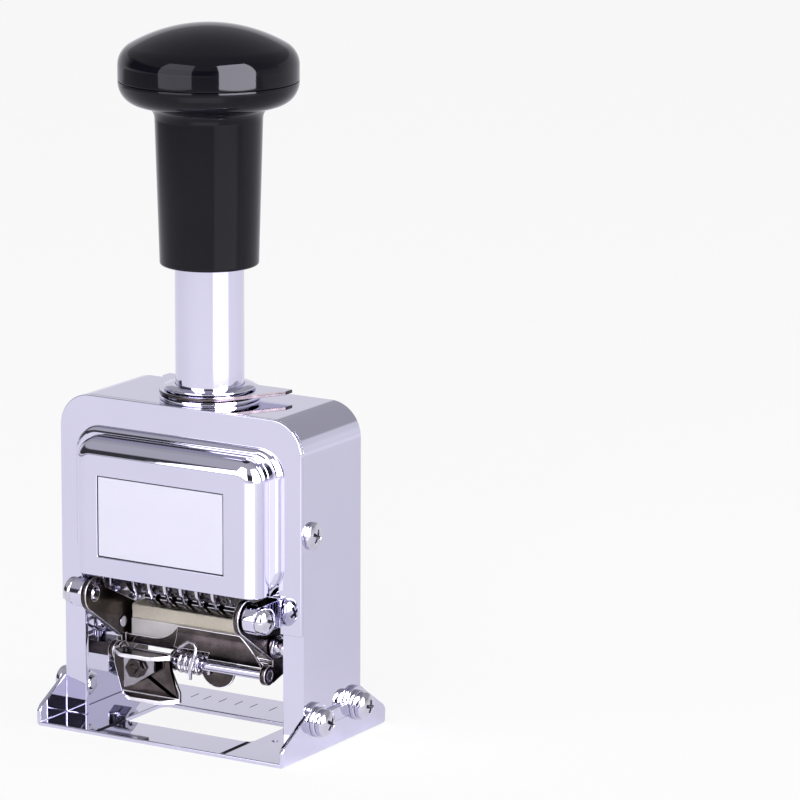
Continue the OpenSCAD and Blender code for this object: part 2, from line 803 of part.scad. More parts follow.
module number_wheel(i) {
    x0 = i * wheel_pitch - wheels_left + wheel_gap / 2;
    x1 = x0 + wheel_pitch - wheel_gap;
    color(nickel) difference() {
        union() {
            along_x(x0 + groove_w, x1) translate([0, wheel_z]) {
                circle(r = type_r - type_h);
                intersection() {
                    circle(r = type_r);
                    for (k = [0:4]) rotate(18 + 36 * k) square([2 * type_r + 1, type_w], center = true);
                }
            }
            along_x(x0, x0 + groove_w) translate([0, wheel_z])
                polygon([for (k = [0:9]) each
                    [[ratchet_r * cos(36 * k), ratchet_r * sin(36 * k)],
                     [(ratchet_r - 1.4) * cos(36 * k + 4), (ratchet_r - 1.4) * sin(36 * k + 4)]]]);
        }
        rod_x(x0 - 1, x1 + 1, 0, wheel_z, bore_r);
    }
}

module number_wheel_1() { number_wheel(0); }
module number_wheel_2() { number_wheel(1); }
module number_wheel_3() { number_wheel(2); }
module number_wheel_4() { number_wheel(3); }
module number_wheel_5() { number_wheel(4); }
module number_wheel_6() { number_wheel(5); }

// --- pawls ---

module pawl_arm(x0) {
    difference() {
        along_x(x0, x0 + pawl_t) translate([0, wheel_z]) {
            circle(r = 4.3);
            rotate(pawl_angle) translate([0, -2]) square([pawl_bar_r, 4]);
        }
        rod_x(x0 - 1, x0 + pawl_t + 1, 0, wheel_z, bore_r);
    }
}

module pawl_frame() {
    color(nickel) {
        pawl_arm(pawl_left);
        pawl_arm(pawl_right);
        along_x(pawl_left, pawl_right + pawl_t) translate([0, wheel_z]) rotate(pawl_angle)
            translate([pawl_bar_r, -2]) square([1.3, 4]);
    }
}

module drive_pawls() {
    color(steel) for (i = [0:5]) along_x(groove_x(i) - blade_t / 2, groove_x(i) + blade_t / 2)
        translate([0, wheel_z]) rotate(pawl_angle)
            polygon([[pawl_bar_r, 1.8], [pawl_bar_r, -1.2], [9.6, -2.2],
                     [blade_tip_r, -1.2], [blade_tip_r + 0.05, -0.4], [9.4, -0.2]]);
}

// --- ink pad cradle ---

module arm_outline() {
    back = 5.2;
    translate([pivot_y, pivot_z]) circle(r = ring_r);
    translate([rod_y, rod_z]) circle(r = rod_d / 2 + 1);
    polygon([[pivot_y - 1.6, pivot_z + ring_r * 0.91], [pivot_y - 2.6, pivot_z - ring_r * 0.74],
             [rod_y + 1.3, pivot_z - 11.6], [rod_y + 1.1, rod_z - rod_d / 2 - 0.9],
             [back, tray_z - floor_t], [back, felt_top - 2], [-1, felt_top + 0.5]]);
}

// Curved sheet with its hollow side to the front, seen from the side
module web_profile() {
    intersection() {
        translate([rod_y - web_r + web_run, web_top]) difference() {
            circle(r = web_r + web_t);
            circle(r = web_r);
        }
        translate([rod_y - 1, web_top - web_fall]) square([web_run + 2, web_fall]);
    }
}

module pad_frame() {
    floor_z = tray_z - floor_t;
    low_x = coil_x + coil_length + coil_wire / 2 + gap;
    tab_x = 5.2;
    tab_r = 4.5;
    tab_y = rod_y + coil_r + coil_wire / 2 + 0.05;
    notch_x = -5.3;
    knee_x = -11.6;
    knee_z = tray_z + 1.1;
    rise = web_top - knee_z;
    scoop_r = (pow(notch_x - knee_x, 2) + pow(rise, 2)) / (2 * rise);
    color(nickel) {
        both_sides() difference() {
            along_x(arm_in, arm_out) arm_outline();
            rod_x(arm_in - 1, arm_out + 1, pivot_y, pivot_z, thread_d / 2 + run);
            rod_x(arm_in - 1, arm_out + 1, roller_y, roller_z, roller_pin_r + 0.02);
            rod_x(arm_in - 1, arm_out + 1, rod_y, rod_z, rod_d / 2 + 0.02);
        }
        translate([-arm_in, lip_y, floor_z]) cube([2 * arm_in, felt_d / 2 - lip_y, floor_t]);
        // Low lip in front of the tray, scooped up to the curved web
        along_y(lip_y, lip_y + 0.5) difference() {
            translate([-arm_in, floor_z]) square([arm_in + notch_x, web_top - floor_z]);
            translate([-arm_in - 1, knee_z]) square([arm_in + 1 + knee_x, web_top]);
            translate([knee_x, knee_z + scoop_r]) circle(r = scoop_r);
        }
        intersection() {
            along_x(notch_x, arm_in) web_profile();
            along_y(rod_y - 2, 0) polygon([[notch_x, floor_z + 1.2], [notch_x, web_top], [11, web_top],
                [arm_in, web_top - 6.3], [arm_in, 0], [low_x, 0], [low_x, floor_z + 1.2]]);
        }
        translate([low_x, rod_y + rod_d / 2 + 0.2, floor_z])
            cube([arm_in - low_x, lip_y - rod_y - rod_d / 2, floor_t]);
        translate([notch_x, lip_y - 1.2, floor_z + 1.2])
            cube([arm_in - notch_x, 1.7, 0.6]);
        along_y(tab_y, tab_y + web_t) {
            intersection() {
                translate([tab_x, floor_z - 2.3]) circle(r = tab_r);
                translate([0, 0]) square([arm_in, floor_z]);
            }
            translate([tab_x - tab_r, floor_z - 2.3]) square([2 * tab_r, 2.3 + floor_t]);
        }
    }
}

module pad_tray() {
    shell = 0.6;
    half_d = felt_d / 2;
    color([0.80, 0.78, 0.75]) difference() {
        translate([-pad_half, -half_d, tray_z]) cube([2 * pad_half, felt_d, tray_h]);
        translate([-pad_half + shell, -half_d + shell, tray_z + shell])
            cube([2 * (pad_half - shell), felt_d - 2 * shell, tray_h]);
    }
}

// Felt block, hollowed along its top where the types rest
module ink_pad() {
    shell = 0.6;
    half_d = felt_d / 2;
    color(felt_cream) difference() {
        union() {
            translate([-pad_half + shell, -half_d + shell, tray_z + shell])
                cube([2 * (pad_half - shell), felt_d - 2 * shell, tray_h]);
            translate([-pad_half, -half_d, tray_z + tray_h])
                cube([2 * pad_half, felt_d, felt_h + felt_rise]);
        }
        rod_x(-wheels_left - gap, wheels_right + gap, 0, wheel_z, type_r + gap);
    }
}

module roller_pins() {
    color(steel) both_sides() {
        rod_x(arm_in, arm_out + 2 * gap + roller_l, roller_y, roller_z, roller_pin_r);
        rod_x(arm_in - 0.35, arm_in, roller_y, roller_z, roller_pin_r + 0.25);
        rod_x(arm_out + 2 * gap + roller_l, arm_out + 2 * gap + roller_l + 0.5, roller_y, roller_z, 1.6);
    }
}

module roller(side) {
    x0 = arm_out + gap;
    r = roller_d / 2;
    color(steel) translate([side * x0, roller_y, roller_z]) rotate([0, side * 90, 0]) rotate_extrude()
        polygon([[roller_pin_r + run, 0], [r, 0], [r, 0.9], [r - 0.7, 1.3], [r - 0.7, roller_l - 1.3],
                 [r, roller_l - 0.9], [r, roller_l], [roller_pin_r + run, roller_l]]);
}

module pad_roller_left() { roller(-1); }
module pad_roller_right() { roller(1); }

module cross_rod() {
    color(chrome) rod_x(-arm_out, arm_out, rod_y, rod_z, rod_d / 2);
}

coil_r = rod_d / 2 + coil_wire / 2 + 0.5;
coil_pitch = coil_wire + 0.6;
coil_x = lever_right + gap + coil_wire / 2;
coil_length = (coil_turns + 0.25) * coil_pitch;
// The hook stands in front of the coil, its foot below, and joins the first turn
coil_hook = [
    [-2.7, coil_r + 1.4, 5.0], [-1.2, coil_r + 1.45, 5.05], [0.25, coil_r + 1.45, 5.3],
    [1.8, coil_r + 1.35, 5.8], [3.3, coil_r + 1.05, 6.15], [4.4, coil_r + 0.65, 6.0],
    [5.1, coil_r + 0.3, 5.2], [5.3, coil_r + 0.1, 4.2], [4.9, coil_r, 3.1],
    [4.2, coil_r - 0.1, 2.1], [3.5, coil_r - 0.3, 1.2], [2.85, coil_r - 0.7, 0.4],
    [coil_r + 0.25, coil_r - 1.35, 0.1]
];
// The last turn ends in a leg that lies down the front of the finger tab
coil_points = concat(
    coil_hook,
    [for (p = helix(coil_turns + 0.25, coil_r, coil_length)) [p[0], -p[1], p[2]]],
    [for (i = [1:3]) [-0.9 * i, -coil_r, coil_length]]);
echo("Least gap in the torsion spring, mm", least_gap(coil_points, coil_wire));

module torsion_spring() {
    color(steel) translate([coil_x, rod_y, rod_z]) rotate([0, 90, 0]) rotate([0, 0, 180])
        swept_wire(coil_points, coil_wire / 2, [0, 0, 1]);
}

// --- release lever ---

module lever_leaf() {
    half = (lever_right - lever_left) / 2;
    translate([(lever_left + lever_right) / 2, lever_y]) intersection() {
        translate([0, 3.4]) circle(r = half + 0.9);
        translate([-half, -lever_reach]) square([2 * half, lever_reach]);
    }
}

module release_lever() {
    ear_r = rod_d / 2 + 1.1;
    tab_y = lever_y - 3.2;
    shift = lever_shift;
    color(nickel) {
        translate([0, 0, lever_top - lever_t]) linear_extrude(lever_t) lever_leaf();
        translate([shift, 0, lever_foot]) linear_extrude(lever_t) lever_leaf();
        along_y(lever_y - lever_t, lever_y)
            polygon([[lever_left, lever_top], [lever_right, lever_top], [lever_right, rod_z - 2],
                     [lever_right + shift, lever_foot + 2.4], [lever_right + shift, lever_foot],
                     [lever_left + shift, lever_foot], [lever_left, rod_z - 2]]);
        for (x = [lever_left, lever_right - 0.8]) difference() {
            along_x(x, x + 0.8) {
                translate([rod_y, rod_z]) circle(r = ear_r);
                translate([lever_y - lever_t, rod_z - 1.5])
                    square([rod_y - lever_y + lever_t, 3]);
            }
            rod_x(x - 1, x + 2, rod_y, rod_z, rod_d / 2 + run);
        }
        along_y(tab_y, tab_y + 0.8)
            polygon([[lever_left + 4.1, lever_top - lever_t], [lever_left + 4.2, lever_top - 8],
                     [lever_left + 6.6, lever_top - 7.1], [lever_right - 3, lever_top - 3.6],
                     [lever_right - 3, lever_top - lever_t]]);
    }
}

module lever_nut() {
    tab_y = lever_y - 3.2;
    color(nickel) translate([lever_left + 7.6, tab_y, lever_top - 3.0]) rotate([90, 0, 0]) {
        cylinder(h = 1.4, r = 2.3, $fn = 6);
        translate([0, 0, 1.4]) cylinder(h = 0.6, r = 1);
    }
}

base_plate();
base_screws();
base_washers();
base_nuts();
outer_frame();
front_cover();
name_card();
rear_cover();
rear_screws();
side_screws();
pivot_brackets();
pivot_screws();
guide_rods();
guide_feet();
return_springs();
collar();
collar_nut();
lock_ring();
lock_plate();
plunger_tube();
handle_grip();
handle_cap();
handle_screw();
stop_washer();
carriage_frame();
tube_nut();
cam_plates();
wheel_shaft();
shaft_spacers();
detent_comb();
dial_stud();
number_wheel_1();
number_wheel_2();
number_wheel_3();
number_wheel_4();
number_wheel_5();
number_wheel_6();
pawl_frame();
drive_pawls();
repeat_dial();
pad_frame();
pad_tray();
ink_pad();
roller_pins();
pad_roller_left();
pad_roller_right();
cross_rod();
torsion_spring();
release_lever();
lever_nut();
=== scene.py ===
"""Hand numbering machine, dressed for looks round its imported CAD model."""
import math

import bmesh
import bpy
from mathutils import Matrix, Vector


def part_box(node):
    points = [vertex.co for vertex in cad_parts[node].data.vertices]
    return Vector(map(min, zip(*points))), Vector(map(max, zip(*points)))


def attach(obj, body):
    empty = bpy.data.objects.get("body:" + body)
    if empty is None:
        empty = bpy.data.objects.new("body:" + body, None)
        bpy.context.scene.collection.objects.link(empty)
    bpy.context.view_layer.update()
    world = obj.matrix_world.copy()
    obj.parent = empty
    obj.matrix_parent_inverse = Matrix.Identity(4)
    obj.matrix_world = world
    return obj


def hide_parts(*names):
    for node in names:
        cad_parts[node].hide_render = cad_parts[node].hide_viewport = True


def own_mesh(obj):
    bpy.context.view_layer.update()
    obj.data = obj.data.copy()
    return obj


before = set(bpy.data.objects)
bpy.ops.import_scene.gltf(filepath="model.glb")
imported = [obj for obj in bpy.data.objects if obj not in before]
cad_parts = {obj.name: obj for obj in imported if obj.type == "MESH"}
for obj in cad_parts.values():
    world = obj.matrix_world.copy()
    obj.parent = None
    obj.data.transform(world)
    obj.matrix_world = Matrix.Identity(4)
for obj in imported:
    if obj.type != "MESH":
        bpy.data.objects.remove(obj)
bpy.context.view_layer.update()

MM = 0.001


# ---------------------------------------------------------------- shader maths

class Val:
    """A shader value that Python expressions can work on."""

    def __init__(self, finish, socket):
        self.finish = finish
        self.socket = socket

    def math(self, operation, *values):
        return self.finish.node("ShaderNodeMath", {"operation": operation}, *values)

    def __add__(self, other):
        return self.math("ADD", self, other)

    __radd__ = __add__

    def __sub__(self, other):
        return self.math("SUBTRACT", self, other)

    def __rsub__(self, other):
        return self.math("SUBTRACT", other, self)

    def __mul__(self, other):
        return self.math("MULTIPLY", self, other)

    __rmul__ = __mul__

    def above(self, edge, soft):
        """0 below edge, rising to 1 over soft."""
        return self.finish.node(
            "ShaderNodeMapRange", {"interpolation_type": "SMOOTHSTEP"},
            Value=self, From_Min=edge, From_Max=edge + soft)


class Nodes:
    """A node tree, written as values and expressions."""

    def __init__(self, tree):
        self.tree = tree

    def node(self, kind, settings, *values, out=0, **named):
        """A new node with its settings, and its sockets filled in order or by name."""
        made = self.tree.nodes.new(kind)
        for key, setting in settings.items():
            setattr(made, key, setting)
        for index, value in enumerate(values):
            self.plug(made.inputs[index], value)
        for key, value in named.items():
            self.plug(made.inputs[key.replace("_", " ")], value)
        return Val(self, made.outputs[out])

    def plug(self, socket, value):
        """Links a value to the socket, or sets a number or a colour on it."""
        if isinstance(value, Val):
            self.tree.links.new(value.socket, socket)
        elif isinstance(value, (tuple, list)) and len(value) == 3 and socket.type == "RGBA":
            socket.default_value = (*value, 1.0)
        else:
            socket.default_value = value

    def mix(self, factor, low, high):
        made = self.tree.nodes.new("ShaderNodeMix")
        made.data_type = "RGBA"
        self.plug(made.inputs[0], factor)
        self.plug(made.inputs[6], low)
        self.plug(made.inputs[7], high)
        return Val(self, made.outputs[2])

    def axes(self, vector):
        """The three parts of a vector, as values."""
        split = self.node("ShaderNodeSeparateXYZ", {}, vector)
        return [Val(self, split.socket.node.outputs[i]) for i in range(3)]


class Finish(Nodes):
    """One procedural material."""

    def __init__(self, name, **constants):
        self.material = bpy.data.materials.new(name)
        self.material.use_nodes = True
        super().__init__(self.material.node_tree)
        self.shader = self.tree.nodes["Principled BSDF"]
        self.set(**constants)
        self.where = self.node("ShaderNodeTexCoord", {}, out="Object")

    def set(self, **sockets):
        for key, value in sockets.items():
            self.plug(self.shader.inputs[key.replace("_", " ")], value)

    def noise(self, scale, detail=3.0, rough=0.5, where=None):
        return self.node("ShaderNodeTexNoise", {}, Vector=where or self.where,
                         Scale=scale, Detail=detail, Roughness=rough)

    def stretched(self, x, y, z):
        """Object coordinates with each axis scaled, for brushed grain."""
        return self.node("ShaderNodeMapping", {}, Vector=self.where, Scale=(x, y, z))

    def bump(self, height, strength, distance):
        self.set(Normal=self.node("ShaderNodeBump", {}, Strength=strength,
                                  Distance=distance, Height=height, out="Normal"))


def chrome_plating():
    finish = Finish("chrome_plating", Metallic=1.0)
    cloud = finish.noise(38.0, 2.0)
    haze = finish.noise(420.0, 4.0)
    scuff = finish.noise(1.0, 5.0, 0.6, finish.stretched(260.0, 900.0, 140.0))
    finish.set(Base_Color=finish.mix(cloud, (0.635, 0.628, 0.755), (0.690, 0.680, 0.800)),
               Roughness=0.03 + 0.04 * haze.above(0.5, 0.35) + 0.05 * scuff.above(0.62, 0.2))
    finish.bump(haze, 0.02, 0.00002)
    return finish.material


def bright_steel():
    finish = Finish("bright_steel", Metallic=1.0)
    haze = finish.noise(600.0, 4.0)
    rings = finish.noise(1.0, 4.0, 0.6, finish.stretched(2400.0, 300.0, 300.0))
    finish.set(Base_Color=finish.mix(haze, (0.55, 0.54, 0.60), (0.70, 0.69, 0.76)),
               Roughness=0.05 + 0.07 * rings)
    finish.bump(rings, 0.04, 0.00002)
    return finish.material


# Dark nickel for the cradle, lever, carriage and feet: partly the plating's own dark tone, partly
# painted shade, its base darkened so these parts read as in shade.
def dark_nickel():
    finish = Finish("dark_nickel", Metallic=1.0)
    stain = finish.noise(160.0, 5.0, 0.65)
    brushed = finish.noise(1.0, 4.0, 0.6, finish.stretched(250.0, 2600.0, 700.0))
    tint = finish.mix(stain.above(0.35, 0.4), (0.050, 0.042, 0.041), (0.135, 0.114, 0.110))
    finish.set(Base_Color=tint, Roughness=0.10 + 0.12 * stain + 0.06 * brushed)
    finish.bump(brushed, 0.05, 0.00003)
    return finish.material


# A lighter copy of the dark nickel: painted light on the lever's finger tab, which stands brighter
# than the shaded web.
def lever_nickel():
    finish = Finish("lever_nickel", Metallic=1.0)
    stain = finish.noise(190.0, 5.0, 0.65)
    brushed = finish.noise(1.0, 4.0, 0.6, finish.stretched(300.0, 2200.0, 900.0))
    tint = finish.mix(stain.above(0.35, 0.4), (0.30, 0.285, 0.31), (0.43, 0.42, 0.455))
    finish.set(Base_Color=tint, Roughness=0.07 + 0.08 * stain + 0.05 * brushed)
    finish.bump(brushed, 0.05, 0.00003)
    return finish.material


def rubbed_edge():
    """Painted highlight: a bright colour on broken edges and rims, standing in for the light they
    reflect.
    """
    finish = Finish("rubbed_edge", Metallic=1.0)
    edge_glint_mottle = finish.noise(700.0, 4.0)
    finish.set(Base_Color=finish.mix(edge_glint_mottle, (0.78, 0.76, 0.78), (0.92, 0.91, 0.93)),
               Roughness=0.24 + 0.14 * edge_glint_mottle)
    return finish.material


def tarnish():
    """Painted shade: a dark colour for grooves, slots, creases and screw recesses, where shade
    falls.
    """
    finish = Finish("tarnish", Metallic=0.6)
    shade_mottle = finish.noise(800.0, 4.0)
    finish.set(Base_Color=finish.mix(shade_mottle, (0.012, 0.011, 0.016), (0.050, 0.046, 0.060)),
               Roughness=0.35 + 0.25 * shade_mottle)
    return finish.material


def type_metal():
    finish = Finish("type_metal", Metallic=1.0)
    stain = finish.noise(420.0, 5.0, 0.7)
    ink = finish.noise(900.0, 3.0).above(0.5, 0.15)
    tint = finish.mix(stain, (0.060, 0.055, 0.057), (0.150, 0.140, 0.145))
    finish.set(Base_Color=finish.mix(ink * 0.8, tint, (0.012, 0.011, 0.014)),
               Roughness=0.16 + 0.25 * stain)
    finish.bump(stain, 0.1, 0.00004)
    return finish.material


def spring_wire():
    finish = Finish("spring_wire", Metallic=1.0)
    drawn = finish.noise(900.0, 4.0)
    finish.set(Base_Color=finish.mix(drawn, (0.42, 0.40, 0.42), (0.66, 0.64, 0.68)),
               Roughness=0.12 + 0.12 * drawn)
    return finish.material


def gloss_black():
    finish = Finish("gloss_black_moulding", IOR=1.45, Specular_IOR_Level=0.22)
    cloud = finish.noise(60.0, 3.0)
    dust = finish.noise(1500.0, 3.0).above(0.68, 0.1)
    ripple = finish.noise(120.0, 2.0)
    finish.set(Base_Color=finish.mix(cloud, (0.0040, 0.0035, 0.0070), (0.0065, 0.0060, 0.0100)),
               Roughness=0.045 + 0.03 * ripple + 0.05 * dust)
    finish.bump(ripple, 0.015, 0.0001)
    return finish.material


def card_stock():
    finish = Finish("card_stock", Coat_Weight=0.35, Coat_Roughness=0.08)
    fibre = finish.noise(1.0, 5.0, 0.7, finish.stretched(2200.0, 2200.0, 900.0))
    cloud = finish.noise(90.0, 3.0)
    tint = finish.mix(cloud * 0.6 + fibre * 0.4, (0.800, 0.790, 0.920), (0.860, 0.850, 0.965))
    finish.set(Base_Color=tint, Roughness=0.45 + 0.15 * fibre)
    finish.bump(fibre, 0.05, 0.00003)
    return finish.material


def felt_cloth():
    finish = Finish("felt_cloth", Sheen_Weight=0.35, Sheen_Roughness=0.5)
    fluff = finish.noise(1500.0, 6.0, 0.7)
    hairs = finish.noise(1.0, 5.0, 0.7, finish.stretched(700.0, 3200.0, 3200.0))
    cloud = finish.noise(130.0, 3.0)
    soak = finish.noise(60.0, 2.0)
    warm = finish.mix(cloud, (0.62, 0.55, 0.44), (0.80, 0.74, 0.63))
    finish.set(Base_Color=finish.mix(fluff.above(0.45, 0.3) * 0.5, warm, (0.86, 0.82, 0.74)),
               Roughness=0.85 + 0.1 * soak)
    finish.bump(fluff * 0.6 + hairs * 0.6, 0.5, 0.00012)
    return finish.material


def tray_tin():
    finish = Finish("tray_tin", Metallic=0.55)
    cloud = finish.noise(150.0, 4.0)
    finish.set(Base_Color=finish.mix(cloud, (0.52, 0.50, 0.48), (0.68, 0.66, 0.64)),
               Roughness=0.32 + 0.15 * cloud)
    finish.bump(cloud, 0.08, 0.00005)
    return finish.material


def pressed_fibre():
    finish = Finish("pressed_fibre")
    grain = finish.noise(1200.0, 5.0)
    finish.set(Base_Color=finish.mix(grain, (0.16, 0.05, 0.035), (0.28, 0.10, 0.07)),
               Roughness=0.7 + 0.1 * grain)
    finish.bump(grain, 0.2, 0.00005)
    return finish.material


chrome = chrome_plating()
steel = bright_steel()
nickel = dark_nickel()
light_nickel_tab = lever_nickel()
bright_edge = rubbed_edge()
recess = tarnish()
types = type_metal()
wire = spring_wire()
black = gloss_black()
card = card_stock()
felt = felt_cloth()
tin = tray_tin()
fibre = pressed_fibre()

NODE_FINISHES = {
    "base_plate": chrome, "outer_frame": chrome, "front_cover": chrome,
    "rear_cover": chrome, "pivot_brackets": chrome, "collar": chrome,
    "lock_ring": chrome, "lock_plate": chrome, "plunger_tube": chrome,
    "cross_rod": chrome, "base_screws": steel, "base_washers": steel,
    "base_nuts": steel, "rear_screws": steel, "side_screws": steel,
    "pivot_screws": steel, "guide_rods": steel, "collar_nut": steel,
    "handle_screw": steel, "tube_nut": steel, "cam_plates": steel,
    "wheel_shaft": steel, "shaft_spacers": steel, "detent_comb": steel,
    "dial_stud": steel, "drive_pawls": steel, "repeat_dial": steel,
    "roller_pins": steel, "pad_roller_left": steel, "pad_roller_right": steel,
    "guide_feet": nickel, "carriage_frame": nickel, "pawl_frame": nickel,
    "pad_frame": nickel, "release_lever": light_nickel_tab, "lever_nut": nickel,
    "stop_washer": fibre, "return_springs": wire, "torsion_spring": wire,
    "handle_grip": black, "handle_cap": black, "name_card": card,
    "pad_tray": tin, "ink_pad": felt,
}
for wheel in range(1, 7):
    NODE_FINISHES[f"number_wheel_{wheel}"] = types

for node_name, node_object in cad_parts.items():
    finish_of_node = NODE_FINISHES[node_name]
    if node_object.material_slots:
        for slot in node_object.material_slots:
            slot.material = finish_of_node
    else:
        node_object.data.materials.append(finish_of_node)


# ---------------------------------------------------------------- the workshop

def mm(*values):
    return tuple(value * MM for value in values)


def let_go():
    """Object mode, nothing selected."""
    if bpy.context.mode != "OBJECT":
        bpy.ops.object.mode_set(mode="OBJECT")
    bpy.ops.object.select_all(action="DESELECT")


def hold(piece):
    """Selects the piece alone and makes it active."""
    let_go()
    piece.select_set(True)
    bpy.context.view_layer.objects.active = piece
    return piece


def settle(piece):
    """Puts the piece's place into its mesh."""
    hold(piece)
    bpy.ops.object.transform_apply(location=True, rotation=True, scale=True)
    return piece


def block(name, low, high):
    """A cube between two corners, in millimetres."""
    let_go()
    middle = [(a + b) / 2 for a, b in zip(low, high)]
    size = [b - a for a, b in zip(low, high)]
    bpy.ops.mesh.primitive_cube_add(size=1.0, location=mm(*middle), scale=mm(*size))
    piece = bpy.context.object
    piece.name = name
    return settle(piece)


def choose(piece, kind, test):
    """Edit mode with the faces or edges selected whose middle and normal, or run, pass the test."""
    hold(piece)
    bpy.ops.object.mode_set(mode="EDIT")
    bpy.ops.mesh.select_mode(type=kind)
    bpy.ops.mesh.select_all(action="DESELECT")
    mesh = bmesh.from_edit_mesh(piece.data)
    if kind == "FACE":
        for face in mesh.faces:
            if test(face.calc_center_median() / MM, face.normal):
                face.select_set(True)
    else:
        for edge in mesh.edges:
            start, end = (vert.co / MM for vert in edge.verts)
            if test((start + end) / 2, end - start):
                edge.select_set(True)
    bmesh.update_edit_mesh(piece.data)


def round_edges(piece, radius, steps, test):
    """Rounds the edges whose middle and run pass the test."""
    choose(piece, "EDGE", test)
    bpy.ops.mesh.bevel(offset=radius * MM, segments=steps, profile=0.5, affect="EDGES")
    bpy.ops.object.mode_set(mode="OBJECT")


def work(piece, tool, operation="DIFFERENCE"):
    """Cuts the tool out of the piece, or joins it on, and takes the tool away."""
    modifier = piece.modifiers.new("work", "BOOLEAN")
    modifier.operation = operation
    modifier.solver = "EXACT"
    modifier.object = tool
    hold(piece)
    bpy.ops.object.modifier_apply(modifier="work")
    bpy.data.objects.remove(tool)
    return piece


def polish(piece, width=0.0, steps=2, angle=32.0, edge_slot=-1):
    """Breaks the sharp edges by width and shades the rest smooth, flat faces kept flat."""
    if width:
        modifier = piece.modifiers.new("broken_edges", "BEVEL")
        modifier.width = width * MM
        modifier.segments = steps
        modifier.limit_method = "ANGLE"
        modifier.angle_limit = math.radians(30)
        modifier.use_clamp_overlap = False
        modifier.material = edge_slot
        hold(piece)
        bpy.ops.object.modifier_apply(modifier="broken_edges")
    hold(piece)
    bpy.ops.object.shade_smooth_by_angle(angle=math.radians(angle))
    modifier = piece.modifiers.new("even_shade", "WEIGHTED_NORMAL")
    modifier.keep_sharp = True
    modifier.weight = 80
    bpy.ops.object.modifier_apply(modifier="even_shade")
    return piece


def face_out(piece):
    """Merges doubled points and turns every face outwards."""
    choose(piece, "FACE", lambda middle, normal: True)
    bpy.ops.mesh.remove_doubles(threshold=1e-7)
    bpy.ops.mesh.normals_make_consistent(inside=False)
    bpy.ops.object.mode_set(mode="OBJECT")


def turned(name, profile, segments=96):
    """A piece turned on the lathe: rings of (radius, height) drawn up from a disc."""
    let_go()
    radius, height = profile[0]
    bpy.ops.mesh.primitive_circle_add(vertices=segments, radius=radius * MM, fill_type="NGON",
                                      location=mm(0, 0, height))
    piece = bpy.context.object
    piece.name = name
    settle(piece)
    bpy.ops.object.mode_set(mode="EDIT")
    bpy.ops.mesh.select_all(action="SELECT")
    for next_radius, next_height in profile[1:]:
        bpy.ops.mesh.extrude_region_move(
            TRANSFORM_OT_translate={"value": mm(0, 0, next_height - height)})
        ratio = next_radius / radius
        bpy.ops.transform.resize(value=(ratio, ratio, 1), center_override=mm(0, 0, next_height))
        radius, height = next_radius, next_height
    bpy.ops.object.mode_set(mode="OBJECT")
    face_out(piece)
    return piece


def arc(centre_r, centre_z, radius, start, end, steps):
    """Points of (radius, height) on an arc, angles in degrees from straight out."""
    points = []
    for step in range(steps + 1):
        angle = math.radians(start + (end - start) * step / steps)
        points.append((centre_r + radius * math.cos(angle), centre_z + radius * math.sin(angle)))
    return points


def copied(piece, name):
    """A second piece with a mesh of its own."""
    twin = bpy.data.objects.new(name, piece.data.copy())
    bpy.context.scene.collection.objects.link(twin)
    return twin


def placed(piece, matrix):
    """Moves the piece by the matrix and puts its place into its mesh."""
    piece.matrix_world = matrix @ piece.matrix_world
    return settle(piece)


def joined(name, members):
    """The members as one piece."""
    let_go()
    for member in members:
        member.select_set(True)
    bpy.context.view_layer.objects.active = members[0]
    if len(members) > 1:
        bpy.ops.object.join()
    members[0].name = name
    return members[0]


def pressed_from(node, name, width, steps=2, finishes=()):
    """A copy of a CAD node, its flat faces made whole and its edges broken."""
    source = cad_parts[node]
    piece = bpy.data.objects.new(name, source.data.copy())
    bpy.context.scene.collection.objects.link(piece)
    hold(piece)
    bpy.ops.mesh.customdata_custom_splitnormals_clear()
    choose(piece, "FACE", lambda middle, normal: True)
    bpy.ops.mesh.remove_doubles(threshold=1e-6)
    bpy.ops.mesh.dissolve_limited(angle_limit=math.radians(0.6))
    bpy.ops.object.mode_set(mode="OBJECT")
    piece.data.materials.clear()
    for finish in finishes:
        piece.data.materials.append(finish)
    for face in piece.data.polygons:
        face.material_index = 0
    # With more than one finish the broken edges take the second one, which the callers use for
    # painted edge highlights.
    if width:
        polish(piece, width, steps, edge_slot=1 if len(finishes) > 1 else -1)
    return piece


def fit(piece, finish, body, slot, *nodes):
    """Gives a piece its finish, its body and the nodes that it stands for."""
    if len(piece.data.materials) < 2:
        piece.data.materials.clear()
        piece.data.materials.append(finish)
    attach(piece, body)
    if nodes:
        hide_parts(*nodes)
    return piece


def line_with(piece, plating, test):
    """Puts the painted shade, a dark lining colour, on the faces whose middle and normal pass the
    test.
    """
    piece.data.materials.clear()
    piece.data.materials.append(plating)
    piece.data.materials.append(recess)
    for face in piece.data.polygons:
        face.material_index = int(test(face.center / MM, face.normal))


# ---------------------------------------------------------------- sizes, in millimetres

HALF_W, FRAME_H, FRAME_R = 31.0, 73.6, 7.5
FRONT_Y, SHELL_Y, BACK_Y = -12.15, -11.07, 12.15
SHEET = 1.08
LEG_IN, SEAM_Z, SKIRT_Z = 25.65, 26.9, 35.35
STEP_HALF, STEP_TOP, STEP_Y = 26.3, 67.1, -13.75
BULGE_HALF, BULGE_TOP, BULGE_Y = 23.9, 65.5, -18.65
CARD_X, CARD_Z, CARD_W, CARD_H = -0.85, 48.7, 32.5, 18.0
GRIP_Z, SEAM_KNOB_Z, CAP_H = 103.0, 143.1, 12.1
KNOB_R, NECK_R, GRIP_R = 19.5, 11.65, 10.75
BASE_T, SCREW_Z = 1.0, 7.2
PIVOT_Y, PIVOT_Z, LUG_OUT = -16.72, 30.65, 23.9
WHEEL_Z, TYPE_R = 34.5, 9.0
WHEEL_PITCH, WHEELS_LEFT, WHEEL_GAP, GROOVE_W = 4.14, 14.3, 0.12, 1.12
BLADE_STEP = 0.85
ROD_Y, ROD_Z = -8.02, 15.95


# ---------------------------------------------------------------- pressed front cover

